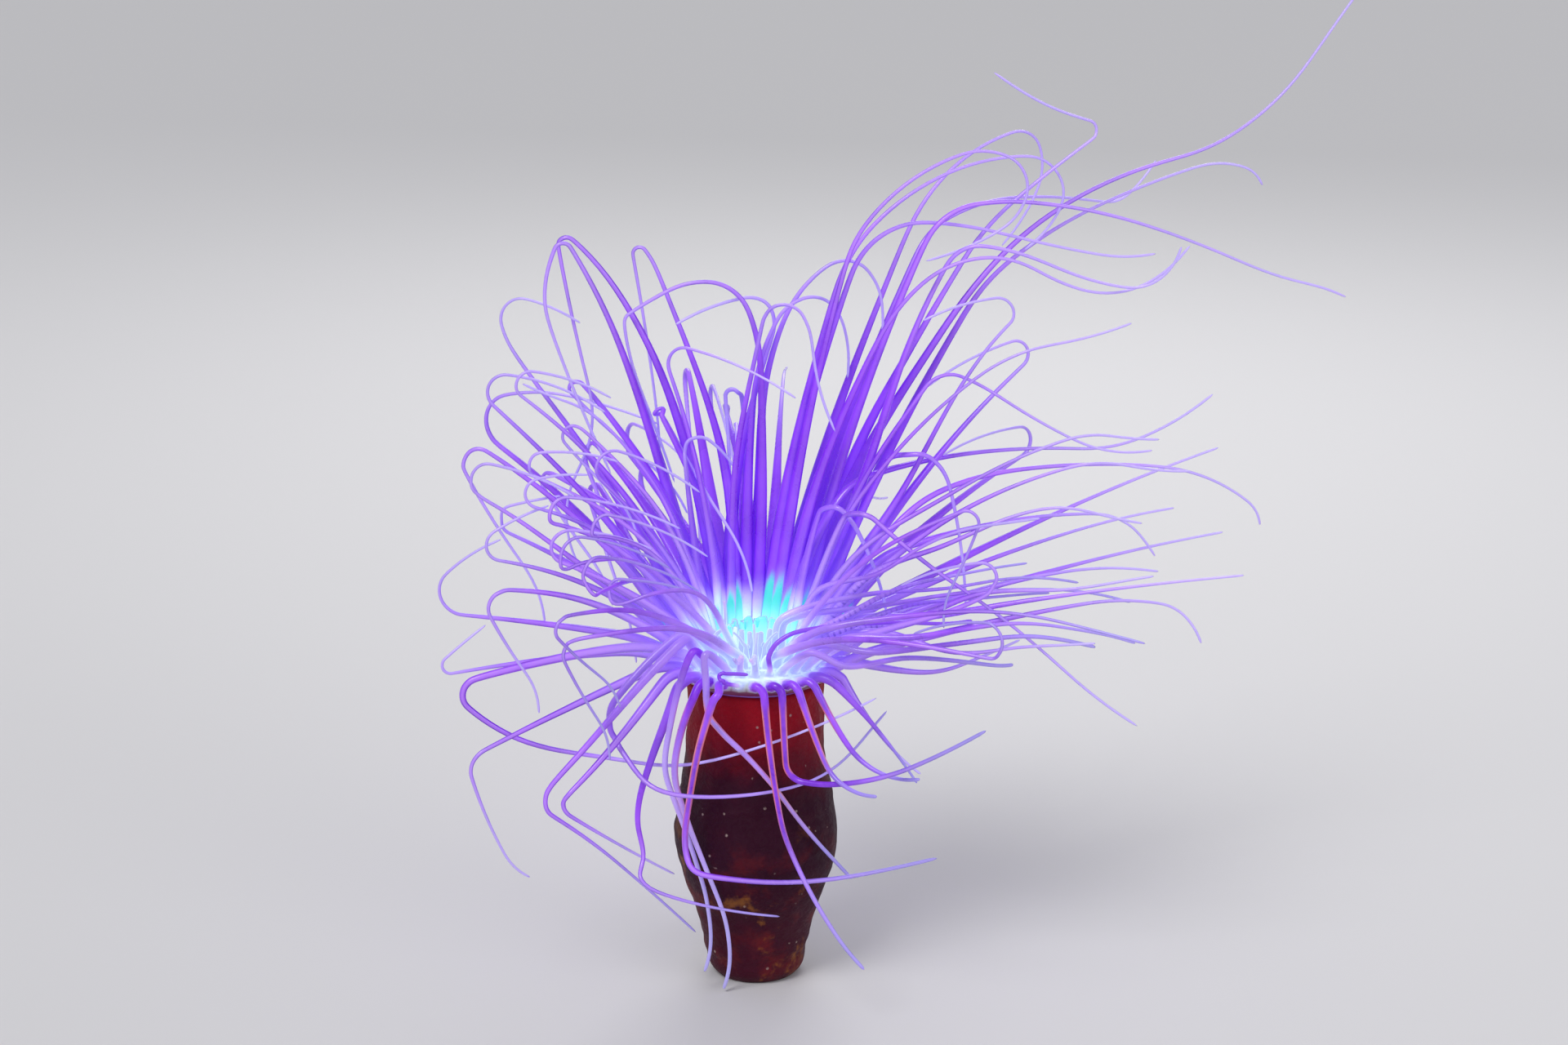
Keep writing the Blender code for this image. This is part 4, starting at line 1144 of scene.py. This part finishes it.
# the felt's look: heights in metres, colours with their shares, patches with a scale and a soft edge
felt = {
    "low": (0.058, 0.0012, 0.014),
    "middle": (0.030, 0.0004, 0.012),
    # painted light: a lighter crimson at the top, as if lit from above through the crown
    "high": (0.34, 0.001, 0.012),
    "middleFrom": (0.010, 0.045),
    "litTopFrom": (0.060, 0.092),
    "uneven": 0.016,
    "unevenPatches": (45, 0.2, 0.8),
    "lowPart": (0.055, 0.025),  # where the next two are
    "brick": ((0.20, 0.012, 0.012), 0.6),
    "brickPatches": (110, 0.46, 0.74),
    "ochre": ((0.40, 0.14, 0.02), 0.6),
    "ochrePatches": (75, 0.58, 0.68),
    "speck": ((0.45, 0.34, 0.30), 0.7),
    "speckPatches": (190, 0.55, 0.62),
    "speckScale": 320,
    "speckEdge": (0.16, 0.08),
    "fibres": {"Scale": 1500, "Detail": 6.0, "Distortion": 1.5},
    "mat": {"Scale": 380, "Detail": 5.0, "Distortion": 2.0},
    "matDepth": 1.6,  # over the fibres'
    "roughness": (0.58, 0.84),
}


def feltMaterial(group):
    made = newMaterial("tubeFelt")
    tree = made.node_tree
    where = addNode(tree, "TexCoord").outputs["Object"]
    height = addNode(tree, "SeparateXYZ", {0: where}).outputs[2]
    uneven = patches(tree, group, where, *felt["unevenPatches"])
    level = maths(tree, "ADD", height, times(tree, uneven, felt["uneven"]))
    # darkest in the middle, and a lighter crimson at the top that is painted light
    colour = mixed(tree, ranged(tree, level, *felt["middleFrom"]), felt["low"], felt["middle"])
    colour = mixed(tree, ranged(tree, level, *felt["litTopFrom"]), colour, felt["high"])
    low = ranged(tree, height, *felt["lowPart"])
    cells = addNode(tree, "TexVoronoi", {"Vector": where, "Scale": felt["speckScale"]}).outputs["Distance"]
    grains = ranged(tree, cells, *felt["speckEdge"])
    for name, part in (("brick", low), ("ochre", low), ("speck", grains)):
        over, share = felt[name]
        some = times(tree, patches(tree, group, where, *felt[name + "Patches"]), part)
        colour = mixed(tree, times(tree, some, share), colour, over)
    fibres, mat = (
        addNode(tree, "TexNoise", {"Vector": where, **felt[name]}).outputs[0] for name in ("fibres", "mat"))
    depth = maths(tree, "ADD", fibres, times(tree, mat, felt["matDepth"]))
    bump = addNode(tree, "Bump", {"Height": depth, "Strength": 0.5, "Distance": 0.0004})
    fill(tree, "Principled BSDF", {
        "Base Color": colour,
        "Normal": bump.outputs[0],
        "Roughness": ranged(tree, mat, 0.3, 0.7, *felt["roughness"]),
        "Specular IOR Level": 0.15,
        "Sheen Weight": 0.04,
        "Sheen Roughness": 0.4,
        "Coat Weight": 0.05,
        "Coat Roughness": 0.35,
    })
    return made


# everything together

addCamera()
addStudio()
print("camera and studio ready")

softPatches = makePatchGroup()
fleshSkin = addSkin()
fleshSkin.data.materials.append(fleshMaterial(softPatches))
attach(fleshSkin, "root")
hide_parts(*(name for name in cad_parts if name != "tube"))
print("flesh ready:", len(fleshSkin.data.polygons), "faces")

tubeSkin = addTube()
tubeSkin.data.materials.append(feltMaterial(softPatches))
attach(tubeSkin, "root")
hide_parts("tube")
print("tube ready:", len(tubeSkin.data.polygons), "faces")

bpy.context.view_layer.update()
